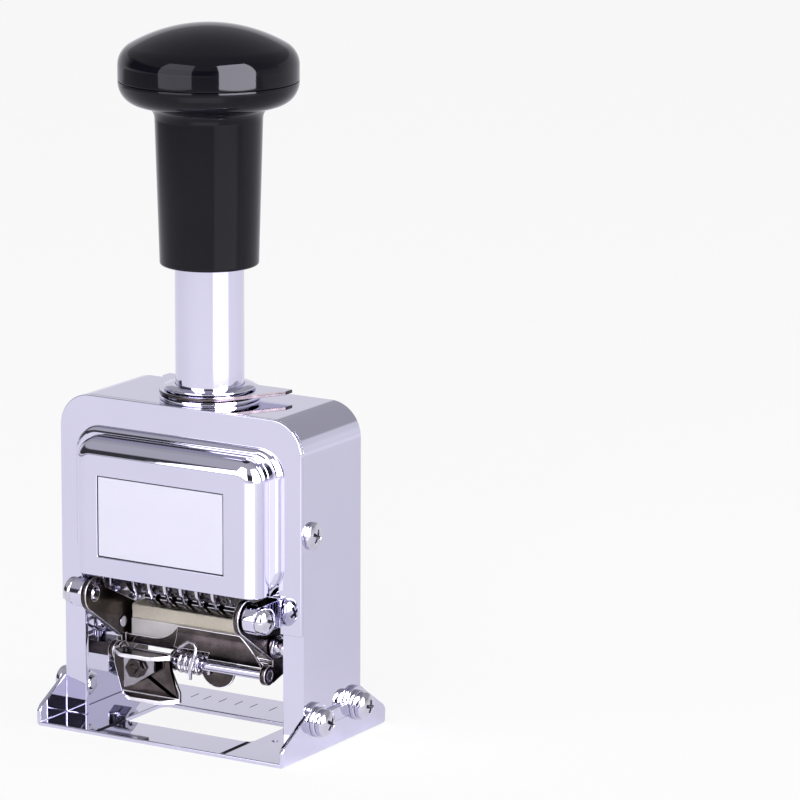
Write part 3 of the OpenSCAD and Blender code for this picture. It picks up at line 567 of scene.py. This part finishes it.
def raised_step(name, half, low, high, corner, back, front, edge):
    """One raised block of the pressing, round at its upper corners and front edges."""
    piece = block(name, (-half, front, low), (half, back, high))
    round_edges(piece, corner, 14, lambda middle, run: abs(run.y) > 0.5 and abs(run.x) < 0.01
                and abs(run.z) < 0.01)
    round_edges(piece, edge, 10, lambda middle, run: abs(middle.y - front) < 0.01
                and abs(run.y) < 0.01)
    return piece


def front_cover():
    """A plate with a low step, and the card's housing over it, hollow behind."""
    cover = block("front_cover_pressing", (-HALF_W, FRONT_Y, SEAM_Z), (HALF_W, SHELL_Y, FRAME_H))
    round_edges(cover, FRAME_R, 18, lambda middle, run: middle.z > FRAME_H - 0.1
                and abs(run.y) > 0.5)
    work(cover, block("notch", (-LEG_IN, -20, SEAM_Z - 3), (LEG_IN, 0, SKIRT_Z)))
    low = SKIRT_Z - 12
    work(cover, raised_step("step", STEP_HALF, SKIRT_Z, STEP_TOP, 6, FRONT_Y + 0.3, STEP_Y, 1.1),
         "UNION")
    bulge = raised_step("bulge", BULGE_HALF, low, BULGE_TOP, 4.9, STEP_Y + 0.3, BULGE_Y, 3.6)
    work(bulge, block("foot", (-40, -30, low - 5), (40, 0, SKIRT_Z)))
    work(cover, bulge, "UNION")
    work(cover, raised_step("step_hollow", STEP_HALF - SHEET, low, STEP_TOP - SHEET, 4.9,
                            SHELL_Y + 1, STEP_Y + SHEET, 0.5))
    work(cover, raised_step("bulge_hollow", BULGE_HALF - SHEET, low, BULGE_TOP - SHEET, 3.8,
                            STEP_Y + SHEET + 0.3, BULGE_Y + SHEET, 2.5))
    half_w, half_h = CARD_W / 2, CARD_H / 2
    work(cover, block("card_seat", (CARD_X - half_w, BULGE_Y - 1, CARD_Z - half_h),
                      (CARD_X + half_w, BULGE_Y + 0.45, CARD_Z + half_h)))
    groove = block("card_groove", (CARD_X - half_w, BULGE_Y - 1, CARD_Z - half_h),
                   (CARD_X + half_w, BULGE_Y + 0.95, CARD_Z + half_h))
    work(groove, block("card_land", (CARD_X - half_w + 0.22, BULGE_Y - 2, CARD_Z - half_h + 0.22),
                       (CARD_X + half_w - 0.5, BULGE_Y + 2, CARD_Z + half_h - 0.2)))
    work(cover, groove)
    polish(cover, 0.16, 3)

    def in_shade(middle, normal):
        groove = (BULGE_Y + 0.47 < middle.y < BULGE_Y + 1.0
                  and abs(middle.x - CARD_X) < half_w + 0.05
                  and abs(middle.z - CARD_Z) < half_h + 0.05)
        crease = (middle.z > BULGE_TOP - 0.05 and STEP_Y - 0.06 < middle.y < STEP_Y + 0.06
                  and normal.y < -0.93 and middle.z < STEP_TOP - 0.9)
        return groove or crease

    # Painted shade in the card's groove and along the crease under the housing's top.
    line_with(cover, chrome, in_shade)
    fit(cover, chrome, "root", "chrome", "front_cover")


# ---------------------------------------------------------------- handle

def handle():
    """The tapered grip, flared out to the seam, and the domed cap over it."""
    lip_r, lip_h, fillet = 4.9, 5.1, 3.2
    fillet_z = SEAM_KNOB_Z - 8.5
    profile = [(GRIP_R - 3.2, GRIP_Z + 0.02), (GRIP_R - 0.7, GRIP_Z)]
    profile += arc(GRIP_R - 0.6, GRIP_Z + 0.6, 0.6, -80, 0, 5)
    profile += [(GRIP_R + (NECK_R - GRIP_R) * k / 6, GRIP_Z + 1 + (fillet_z - GRIP_Z - 1) * k / 6)
                for k in range(1, 6)]
    profile += [(NECK_R + fillet - fillet * math.cos(math.radians(7.5 * k)),
                 fillet_z + fillet * math.sin(math.radians(7.5 * k))) for k in range(11)]
    profile += [(KNOB_R - lip_r + lip_r * math.cos(math.radians(75 - 7.5 * k)),
                 SEAM_KNOB_Z - 0.22 - lip_h * math.sin(math.radians(75 - 7.5 * k)))
                for k in range(10)]
    profile += [(KNOB_R, SEAM_KNOB_Z - 0.22), (KNOB_R - 0.06, SEAM_KNOB_Z - 0.1),
                (KNOB_R - 0.3, SEAM_KNOB_Z - 0.02)]
    grip = turned("handle_grip_moulding", profile, 128)
    fit(polish(grip, angle=40), black, "plunger", "handle", "handle_grip")

    # The cap: a shoulder round the rim, then one wide arc over the top
    shoulder = 5.0
    crown = (KNOB_R - shoulder / 2) / math.sin(math.radians(30))
    side = CAP_H - crown * (1 - math.cos(math.radians(30))) - shoulder * math.sin(math.radians(60))
    base = SEAM_KNOB_Z
    profile = [(KNOB_R - 0.3, base + 0.02), (KNOB_R - 0.06, base + 0.1), (KNOB_R, base + 0.25),
               (KNOB_R, base + side / 2)]
    profile += arc(KNOB_R - shoulder, base + side, shoulder, 0, 60, 14)
    profile += [(crown * math.sin(math.radians(angle)),
                 base + CAP_H - crown * (1 - math.cos(math.radians(angle))))
                for angle in (*range(28, 0, -2), 0.6)]
    cap = turned("handle_cap_moulding", profile, 128)
    fit(polish(cap, angle=40), black, "plunger", "handle", "handle_cap")


# ---------------------------------------------------------------- screws

def pan_screw(head_r, head_h, thread_r, length):
    """A pan head screw with a cross recess, its seat at the origin, pointing up."""
    crown = head_h * 0.62
    profile = [(thread_r - 0.35, -length), (thread_r, -length + 0.35), (thread_r, -0.02),
               (head_r - 0.15, 0), (head_r, 0.12), (head_r, head_h - crown)]
    profile += [(head_r * math.cos(math.radians(k * 9)),
                 head_h - crown + crown * math.sin(math.radians(k * 9))) for k in range(1, 10)]
    screw = turned("screw", profile, 48)
    for turn in (45, 135):
        foot = head_h - 1.25
        wing = block("wing", (-head_r * 0.72, -0.46, foot), (head_r * 0.72, 0.46, head_h + 1))
        choose(wing, "FACE", lambda middle, normal: normal.z < -0.9)
        bpy.ops.transform.resize(value=(0.45, 0.6, 1), center_override=mm(0, 0, foot))
        bpy.ops.object.mode_set(mode="OBJECT")
        placed(wing, Matrix.Rotation(math.radians(turn), 4, "Z"))
        work(screw, wing)
    polish(screw, 0.06, 2)

    def in_recess(middle, normal):
        radius = math.hypot(middle.x, middle.y)
        if radius > head_r * 0.74 or middle.z < head_h - 1.4:
            return False
        dome = head_h - crown + crown * math.sqrt(1 - (radius / head_r) ** 2)
        return middle.z < dome - 0.1

    # Painted shade in the cross recess.
    line_with(screw, steel, in_recess)
    return screw


def screws():
    """Every pan head screw, each at its own turn."""
    along_right = Matrix.Rotation(math.radians(90), 4, "Y")
    along_left = Matrix.Rotation(math.radians(-90), 4, "Y")
    along_back = Matrix.Rotation(math.radians(-90), 4, "X")

    def set_in(pattern, name, point, facing, node, twist=0.0):
        piece = copied(pattern, name)
        spin = Matrix.Rotation(math.radians(twist), 4, "Z")
        placed(piece, Matrix.Translation(mm(*point)) @ facing @ spin)
        fit(piece, steel, "root", "steel", node)

    head_x = HALF_W + BASE_T + 1.1
    base = pan_screw(3.0, 2.5, 1.5, head_x - 26.5)
    side = pan_screw(3.0, 1.5, 1.5, 3.4)
    pivot = pan_screw(3.05, 2.7, 1.5, 5.2)
    rear = pan_screw(2.6, 1.5, 1.5, 2.2)
    rear_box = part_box("rear_screws")
    rear_x = rear_box[1][0] / MM - 2.55
    rear_z = (rear_box[0][2] + rear_box[1][2]) / 2 / MM
    for sign, facing, hand in ((-1, along_left, "left"), (1, along_right, "right")):
        set_in(base, f"base_screw_front_{hand}", (sign * head_x, -7.1, SCREW_Z), facing,
               "base_screws", 10)
        set_in(base, f"base_screw_rear_{hand}", (sign * head_x, 9.0, SCREW_Z), facing,
               "base_screws", 32)
        set_in(side, f"side_screw_{hand}", (sign * HALF_W, -7.87, 48.4), facing,
               "side_screws", 18)
        set_in(pivot, f"pivot_screw_{hand}", (sign * LUG_OUT, PIVOT_Y, PIVOT_Z), facing,
               "pivot_screws", 20)
        set_in(rear, f"rear_screw_{hand}", (sign * rear_x, BACK_Y, rear_z), along_back,
               "rear_screws", 25 * sign)
    for pattern in (base, side, pivot, rear):
        bpy.data.objects.remove(pattern)


# ---------------------------------------------------------------- base, frame and small parts

def base_plate():
    """The base pressing, its side hems rounded and its marks cut in."""
    base = pressed_from("base_plate", "base_plate_pressing", 0)
    round_edges(base, 0.85, 5, lambda middle, run: abs(middle.z) < 0.01 and abs(run.y) > 20
                and abs(middle.x) > HALF_W + 0.5)
    polish(base, 0.22, 3)
    # The scale behind the window, and a folded crease on each side in front
    tick_half, crease_half = 0.13, 0.65
    for x in (-14.0, -10.6, -6.5, -2.3, 1.7, 6.75, 10.6, 14.5):
        work(base, block("tick", (x - tick_half, 12.9, BASE_T - 0.12),
                         (x + tick_half, 16.3, BASE_T + 1)))
    for x in (-16.3, 16.3):
        work(base, block("crease", (x - crease_half, -20.6, BASE_T - 0.3),
                         (x + crease_half, -10.0, BASE_T + 1)))
    polish(base)
    # Painted shade in the cut ticks of the scale and in the side creases.
    line_with(base, chrome, lambda middle, normal: BASE_T - 0.35 < middle.z < BASE_T - 0.03
              and abs(middle.x) < 17.7 and (12.85 < middle.y < 16.35 or -20.65 < middle.y < -9.95)
              and (normal.z > 0.9 or abs(normal.x) > 0.9))
    fit(base, chrome, "root", "chrome", "base_plate")


SMALL_PARTS = [
    # node, name, edge width, finish, body, slot
    ("outer_frame", "outer_frame_shell", 0.22, "chrome", "root", "chrome"),
    ("rear_cover", "rear_cover_sheet", 0.2, "chrome", "root", "chrome"),
    ("pivot_brackets", "pivot_bosses", 0.35, "chrome", "root", "chrome"),
    ("collar", "collar_flange", 0.25, "chrome", "root", "chrome"),
    ("lock_ring", "lock_ring_turning", 0.12, "chrome", "root", "chrome"),
    ("cross_rod", "cradle_cross_rod", 0.25, "chrome", "cradle", "chrome"),
    ("base_washers", "thick_washers", 0.22, "steel", "root", "steel"),
    ("base_nuts", "frame_nuts", 0.25, "steel", "root", "steel"),
    ("roller_pins", "roller_rivets", 0.2, "steel", "cradle", "steel"),
    ("pad_roller_left", "roller_spool_left", 0.15, "steel", "roller_left", "steel"),
    ("pad_roller_right", "roller_spool_right", 0.15, "steel", "roller_right", "steel"),
    ("lever_nut", "lever_hex_nut", 0.2, "nickel", "lever", "dark_nickel"),
    ("pad_tray", "pad_tray_box", 0.2, "tin", "cradle", "tray"),
    ("carriage_frame", "carriage_pressing", 0.2, "nickel", "plunger", "dark_nickel"),
    ("name_card", "name_card_slip", 0.05, "card", "root", "card"),
]


def small_parts():
    """The parts that need only their edges broken."""
    finishes = {"chrome": chrome, "steel": steel, "nickel": nickel, "tin": tin, "card": card}
    for node, name, width, finish, body, slot in SMALL_PARTS:
        fit(pressed_from(node, name, width), finishes[finish], body, slot, node)
    # Painted highlight: the cradle's broken edges take the bright edge colour.
    cradle = pressed_from("pad_frame", "cradle_pressing", 0.15, 2, (nickel, bright_edge))
    fit(cradle, nickel, "cradle", "dark_nickel", "pad_frame")
    plate = pressed_from("lock_plate", "lock_plate_blank", 0.16, 2, (chrome, nickel))
    # Painted shade: the plate's edge faces take the dark nickel, a dark line along the chrome.
    for face in plate.data.polygons:
        face.material_index = int(abs(face.normal.z) < 0.5)
    fit(plate, chrome, "lock", "chrome", "lock_plate")


def release_lever():
    """Two curved leaves and a tab: painted highlight on the leaves' rims and edges, and the tab
    painted lighter than the web, which stays dark as shade.
    """
    lever = pressed_from("release_lever", "lever_pressing", 0.15, 2,
                         (nickel, bright_edge, light_nickel_tab))
    web_y, tab_y, thick = -9.57, -12.77, 0.9
    leaf_tops = (ROD_Z + 1.4, ROD_Z - 9.0 + thick)
    for face in lever.data.polygons:
        across, height = face.center.y / MM, face.center.z / MM
        rim = any(leaf - thick - 0.05 < height < leaf + 0.05 for leaf in leaf_tops)
        # Painted highlight on the rims; painted light on the tab's faces.
        if rim and abs(face.normal.z) < 0.6 and across < web_y - thick - 0.1:
            face.material_index = 1
        elif abs(face.normal.y) > 0.9 and abs(across - tab_y) < 0.1:
            face.material_index = 2
    fit(lever, nickel, "lever", "dark_nickel", "release_lever")


def comb_blades():
    """The bar with its six curved blades, which hang in the wheels' grooves."""
    members = [pressed_from("detent_comb", "comb_blades", 0.1)]
    half_thick = 0.42
    for groove in range(6):
        x = groove * WHEEL_PITCH - WHEELS_LEFT + WHEEL_GAP / 2 + GROOVE_W / 2
        blade = block("blade", (x - half_thick, -10.35, 33.2), (x + half_thick, -9.65, 36.5))
        for step, (y_shift, narrow) in enumerate(((0.05, 1.1), (0.22, 1.05), (0.42, 0.85),
                                                  (0.62, 0.6), (0.6, 0.35))):
            low = min(vert.co.z for vert in blade.data.vertices)
            choose(blade, "FACE", lambda middle, normal: middle.z < low / MM + 0.05
                   and normal.z < -0.6)
            bpy.ops.mesh.extrude_region_move(
                TRANSFORM_OT_translate={"value": mm(0, y_shift, -BLADE_STEP)})
            centre = mm(x, -10.1 + 0.3 * step, low / MM - BLADE_STEP)
            bpy.ops.transform.resize(value=(0.95, narrow, 1), center_override=centre)
            bpy.ops.object.mode_set(mode="OBJECT")
        members.append(polish(blade, 0.12, 2))
    fit(joined("comb_blades", members), steel, "plunger", "steel", "detent_comb")


# ---------------------------------------------------------------- number wheels

def type_digits():
    """Raised mirror-image figures on the ten faces of every wheel."""
    figure_size, half_depth, embed = 4.3, 0.14, 0.06
    figures = []
    for figure in range(10):
        let_go()
        bpy.ops.object.text_add()
        text = bpy.context.object
        text.data.body = str(figure)
        text.data.size = figure_size * MM
        text.data.extrude = half_depth * MM
        text.data.resolution_u = 2
        text.data.align_x = "CENTER"
        text.data.align_y = "CENTER"
        bpy.ops.object.convert(target="MESH")
        middle = [(a + b) / 2 for a, b in zip(*[[f(v.co[i] for v in text.data.vertices)
                                                 for i in range(3)] for f in (min, max)])]
        placed(text, Matrix.Translation(Vector(middle) * -1))
        figures.append(text)
    narrow = Matrix.Diagonal((0.92, 0.92, -1.0, 1.0))
    for wheel in range(6):
        left = wheel * WHEEL_PITCH - WHEELS_LEFT + WHEEL_GAP / 2 + GROOVE_W
        middle_x = (left + wheel * WHEEL_PITCH - WHEELS_LEFT + WHEEL_PITCH - WHEEL_GAP / 2) / 2
        members = []
        for face in range(10):
            piece = copied(figures[face], f"figure_{wheel}_{face}")
            turn = Matrix.Rotation(math.radians(36 * face), 4, "X")
            placed(piece, Matrix.Translation(mm(middle_x, 0, WHEEL_Z)) @ turn
                   @ Matrix.Translation(mm(0, 0, -TYPE_R - embed)) @ narrow)
            members.append(piece)
        digits = joined(f"type_figures_{wheel + 1}", members)
        face_out(digits)
        fit(digits, types, f"wheel_{wheel + 1}", "type_metal")
        # Painted highlight: the wheel's broken edges take the bright steel.
        body = pressed_from(f"number_wheel_{wheel + 1}", f"type_wheel_{wheel + 1}", 0.1, 1,
                            (types, steel))
        fit(body, types, f"wheel_{wheel + 1}", "type_metal", f"number_wheel_{wheel + 1}")
    for figure in figures:
        bpy.data.objects.remove(figure)


# ---------------------------------------------------------------- felt pad

def felt_pad():
    """The pad, crowned, hollowed where the wheels rest, and roughened as felt."""
    room, wheels_x, voxel = 0.55, -1.9, 0.24
    low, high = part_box("ink_pad")
    low, high = [v / MM for v in low], [v / MM for v in high]
    tray_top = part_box("pad_tray")[1][2] / MM
    pad = block("felt_ink_pad", (low[0], low[1], tray_top - 0.02), (high[0], high[1], high[2]))
    round_edges(pad, 0.55, 3, lambda middle, run: middle.z > tray_top + 0.1)
    let_go()
    bpy.ops.mesh.primitive_cylinder_add(vertices=96, radius=(TYPE_R + room) * MM, depth=30 * MM,
                                        location=mm(wheels_x, 0, WHEEL_Z),
                                        rotation=(0, math.radians(90), 0))
    hollow = settle(bpy.context.object)
    work(pad, hollow)
    modifier = pad.modifiers.new("felted", "REMESH")
    modifier.mode = "VOXEL"
    modifier.voxel_size = voxel * MM
    hold(pad)
    bpy.ops.object.modifier_apply(modifier="felted")
    lumps = bpy.data.textures.new("felt_lumps", "CLOUDS")
    lumps.noise_scale = 0.0009
    lumps.noise_depth = 3
    modifier = pad.modifiers.new("lumps", "DISPLACE")
    modifier.texture = lumps
    modifier.strength = 0.22 * MM
    modifier.mid_level = 0.55
    bpy.ops.object.modifier_apply(modifier="lumps")
    bpy.ops.object.shade_smooth()
    fit(pad, felt, "cradle", "felt", "ink_pad")


# ---------------------------------------------------------------- springs

def closed_ends(piece):
    """Fills the open ends of a wound wire."""
    hold(piece)
    bpy.ops.object.mode_set(mode="EDIT")
    bpy.ops.mesh.select_mode(type="EDGE")
    bpy.ops.mesh.select_all(action="DESELECT")
    bpy.ops.mesh.select_non_manifold()
    bpy.ops.mesh.edge_face_add()
    bpy.ops.object.mode_set(mode="OBJECT")


def return_springs():
    """A coil on each guide rod, at the height of the CAD springs; it stays that height when the
    plunger goes down.
    """
    low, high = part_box("return_springs")
    wire_r, coil_r, coils = 0.45, 3.0, 16
    bottom, top = low[2] / MM + wire_r, high[2] / MM - wire_r
    guide_x = high[0] / MM - coil_r - wire_r
    members = []
    for sign in (-1, 1):
        let_go()
        bpy.ops.mesh.primitive_circle_add(
            vertices=12, radius=wire_r * MM, location=mm(coil_r, 0, 0),
            rotation=(math.radians(90), 0, 0))
        coil = settle(bpy.context.object)
        modifier = coil.modifiers.new("wound", "SCREW")
        modifier.angle = math.radians(360 * coils)
        modifier.screw_offset = (top - bottom) * MM
        modifier.steps = modifier.render_steps = 24 * coils
        modifier.use_merge_vertices = False
        hold(coil)
        bpy.ops.object.modifier_apply(modifier="wound")
        closed_ends(coil)
        placed(coil, Matrix.Translation(mm(sign * guide_x, 6.0, bottom)))
        members.append(coil)
    springs = joined("plunger_return_springs", members)
    face_out(springs)
    polish(springs, angle=50)
    fit(springs, wire, "root", "steel", "return_springs")
    mm(0, 6.0, bottom - wire_r)
    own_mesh(springs)


def smooth_path(points, steps):
    """A smooth curve through the points."""
    path = []
    for i in range(len(points) - 1):
        p0, p1, p2, p3 = (Vector(points[max(0, min(len(points) - 1, i + k))])
                          for k in (-1, 0, 1, 2))
        for step in range(steps):
            t = step / steps
            path.append(0.5 * (2 * p1 + (p2 - p0) * t + (2 * p0 - 5 * p1 + 4 * p2 - p3) * t ** 2
                               + (3 * p1 - p0 - 3 * p2 + p3) * t ** 3))
    return path + [Vector(points[-1])]


def torsion_spring():
    """The cradle's spring: hook, coil round the cross rod, and a leg on the finger tab."""
    left = -2.875
    coil_r, pitch, turns, wire_r = 2.125, 1.45, 4.25, 0.425
    per_turn = 16
    points = [(-2.7, 3.525, 5.0), (-1.2, 3.575, 5.05), (0.25, 3.575, 5.3), (1.8, 3.475, 5.8),
              (3.3, 3.175, 6.15), (4.4, 2.775, 6.0), (5.1, 2.425, 5.2), (5.3, 2.225, 4.2),
              (4.9, 2.125, 3.1), (4.2, 2.025, 2.1), (3.5, 1.825, 1.2), (2.85, 1.425, 0.4),
              (coil_r + 0.25, 0.775, 0.1)]
    for step in range(int(turns * per_turn) + 1):
        angle = math.radians(step * 360 / per_turn)
        points.append((coil_r * math.cos(angle), -coil_r * math.sin(angle),
                       pitch * step / per_turn))
    points += [(-0.9 * k, -coil_r, pitch * turns) for k in (1, 2, 3)]
    path = smooth_path(points, 3)
    curve = bpy.data.curves.new("torsion_path", "CURVE")
    curve.dimensions = "3D"
    curve.bevel_depth = wire_r * MM
    curve.bevel_resolution = 4
    curve.use_fill_caps = True
    spline = curve.splines.new("POLY")
    spline.points.add(len(path) - 1)
    for point, (up, ahead, along) in zip(spline.points, path):
        point.co = (*mm(left + along, ROD_Y - ahead, ROD_Z + up), 1.0)
    let_go()
    spring = bpy.data.objects.new("cradle_torsion_spring", curve)
    bpy.context.scene.collection.objects.link(spring)
    hold(spring)
    bpy.ops.object.convert(target="MESH")
    spring = bpy.context.object
    face_out(spring)
    polish(spring, angle=50)
    fit(spring, wire, "cradle", "steel", "torsion_spring")


front_cover()
handle()
screws()
base_plate()
small_parts()
release_lever()
comb_blades()
type_digits()
felt_pad()
return_springs()
torsion_spring()


# ---------------------------------------------------------------- the studio

def studio():
    """White paper and backdrop, pale near the floor, dim overhead, as in a tent with dark gaps."""
    scene = bpy.context.scene
    scene.view_settings.view_transform = "Standard"
    world = bpy.data.worlds.new("studio_world")
    scene.world = world
    world.use_nodes = True
    world.node_tree.nodes.clear()
    sky = Nodes(world.node_tree)
    x, y, z = sky.axes(sky.node("ShaderNodeTexCoord", {}, out="Generated"))
    back = 0.94 - 0.10 * z.above(0.05, 0.15) - 0.38 * z.above(0.27, 0.07)
    front = 0.90 - 0.85 * z.above(-0.02, 0.06) + 0.50 * z.above(0.36, 0.14)
    right = 0.80 - 0.40 * z.above(0.05, 0.3)
    behind = y.above(-0.15, 0.4)
    level = front + (back - front) * behind
    beside = x.above(0.60, 0.15) * (1 - y.above(0.70, 0.1))
    level = level + (right - level) * beside
    tint = sky.node("ShaderNodeCombineColor", {}, level * 0.95, level * 0.94, level)
    light = sky.node("ShaderNodeBackground", {}, Color=tint, Strength=1.0)
    white = sky.node("ShaderNodeBackground", {}, Color=(1.0, 1.0, 1.0), Strength=1.0)
    seen = sky.node("ShaderNodeLightPath", {}, out="Is Camera Ray")
    both = sky.node("ShaderNodeMixShader", {}, seen, light, white)
    out = world.node_tree.nodes.new("ShaderNodeOutputWorld")
    world.node_tree.links.new(both.socket, out.inputs["Surface"])

    let_go()
    bpy.ops.mesh.primitive_plane_add(size=3.0, location=(0, 0, 0))
    floor = settle(bpy.context.object)
    floor.name = "studio_floor"
    paper = Finish("studio_paper", Roughness=0.9)
    grain = paper.noise(90.0, 3.0)
    paper.set(Base_Color=paper.mix(grain, (0.80, 0.80, 0.80), (0.83, 0.83, 0.83)))
    camera_ray = paper.node("ShaderNodeLightPath", {}, out="Is Camera Ray")
    glossy_ray = paper.node("ShaderNodeLightPath", {}, out="Is Glossy Ray")
    x, y, z = paper.axes(paper.where)
    # Painted light on the paper, seen only in the gloss: a brighter pool in front on the right and
    # at the window's foot, a dimmer patch beside the machine, and darker far out in front
    bearing = x.math("ARCTAN2", x, 0.0 - y)
    distance = x.math("SQRT", x * x + y * y)
    near = distance.above(0.11, 0.05) * (1 - distance.above(0.29, 0.05))
    painted_lamp_pool = bearing.above(-0.30, 0.42) * (1 - bearing.above(0.82, 0.22)) * near
    painted_window_pool = (bearing.above(0.72, 0.12) * (1 - bearing.above(1.62, 0.15))
                   * distance.above(0.35, 0.04))
    dull = (bearing.above(1.05, 0.25) * (1 - bearing.above(2.75, 0.3))
            * (1 - distance.above(0.34, 0.05)))
    end = distance.above(0.50, 0.25) * (1 - y.above(0.1, 0.2))
    glow = camera_ray * 0.88 + glossy_ray * 0.62
    level = (1.18 + 1.5 * painted_lamp_pool + 1.25 * painted_window_pool - 0.21 * dull) * (1 - 0.75 * end)
    in_gloss = paper.mix(level * 0.25, (0.0, 0.0, 0.0), (3.76, 3.68, 4.0))
    shown = paper.mix(camera_ray, in_gloss, (1.0, 1.0, 1.0))
    shine = paper.node("ShaderNodeEmission", {}, Color=shown, Strength=1.0)
    both = paper.node("ShaderNodeMixShader", {}, glow, Val(paper, paper.shader.outputs[0]), shine)
    paper.tree.links.new(both.socket, paper.tree.nodes["Material Output"].inputs["Surface"])
    floor.data.materials.append(paper.material)


def soft_box(name, place, aim, size, power, seen_in="both", colour=(1.0, 1.0, 1.0)):
    """A rectangular lamp that lights the surfaces, shows in the gloss, or does both."""
    lamp = bpy.data.lights.new(name, "AREA")
    lamp.shape = "RECTANGLE"
    lamp.size, lamp.size_y = size
    lamp.energy = power
    lamp.color = colour
    holder = bpy.data.objects.new(name, lamp)
    bpy.context.scene.collection.objects.link(holder)
    holder.location = place
    holder.rotation_euler = (Vector(aim) - Vector(place)).to_track_quat("-Z", "Y").to_euler()
    holder.visible_glossy = seen_in != "surfaces"
    holder.visible_diffuse = seen_in != "gloss"
    return holder


def camera():
    """The photograph's view: azimuth and elevation as fitted to the frame's edges."""
    azimuth, elevation, roll = (math.radians(a) for a in (31.125, 12.429, 0.231))
    back = Vector((math.sin(azimuth) * math.cos(elevation),
                   -math.cos(azimuth) * math.cos(elevation), math.sin(elevation)))
    right = (-back).cross(Vector((0, 0, 1))).normalized()
    up = right.cross(-back)
    right_rolled = math.cos(roll) * right + math.sin(roll) * up
    up_rolled = math.cos(roll) * up - math.sin(roll) * right
    eye = Vector(EYE) * MM
    turn = Matrix((right_rolled, up_rolled, back)).transposed().to_4x4()
    lens = bpy.data.cameras.new("photo_camera")
    lens.sensor_fit = "HORIZONTAL"
    lens.sensor_width = 36.0
    lens.lens = LENS
    lens.clip_start = 0.01
    lens.clip_end = 20.0
    holder = bpy.data.objects.new("photo_camera", lens)
    bpy.context.scene.collection.objects.link(holder)
    holder.matrix_world = Matrix.Translation(eye) @ turn
    bpy.context.scene.camera = holder


EYE = (582.65, -885.33, 306.54)
LENS = 225.35
camera()
studio()
soft_box("key_light", (0.30, -0.95, 0.62), (0, 0, 0.09), (0.34, 0.34), 4.2, "surfaces")
soft_box("fill_light", (-0.55, -0.85, 0.55), (0, 0, 0.09), (0.30, 0.30), 2.2, "surfaces")
soft_box("rim_light", (0.75, 0.25, 0.55), (0, 0, 0.08), (0.5, 0.5), 2.5, "surfaces")
WINDOW_LIGHT = (0.90, 0.87, 1.0)
soft_box("right_window", (0.423, -0.154, 0.375), (0, 0, 0.375), (0.40, 0.66), 14.0, "gloss",
         WINDOW_LIGHT)
soft_box("left_window", (-0.08, -0.46, 0.375), (0, 0, 0.375), (0.38, 0.66), 2.9, "gloss",
         WINDOW_LIGHT)
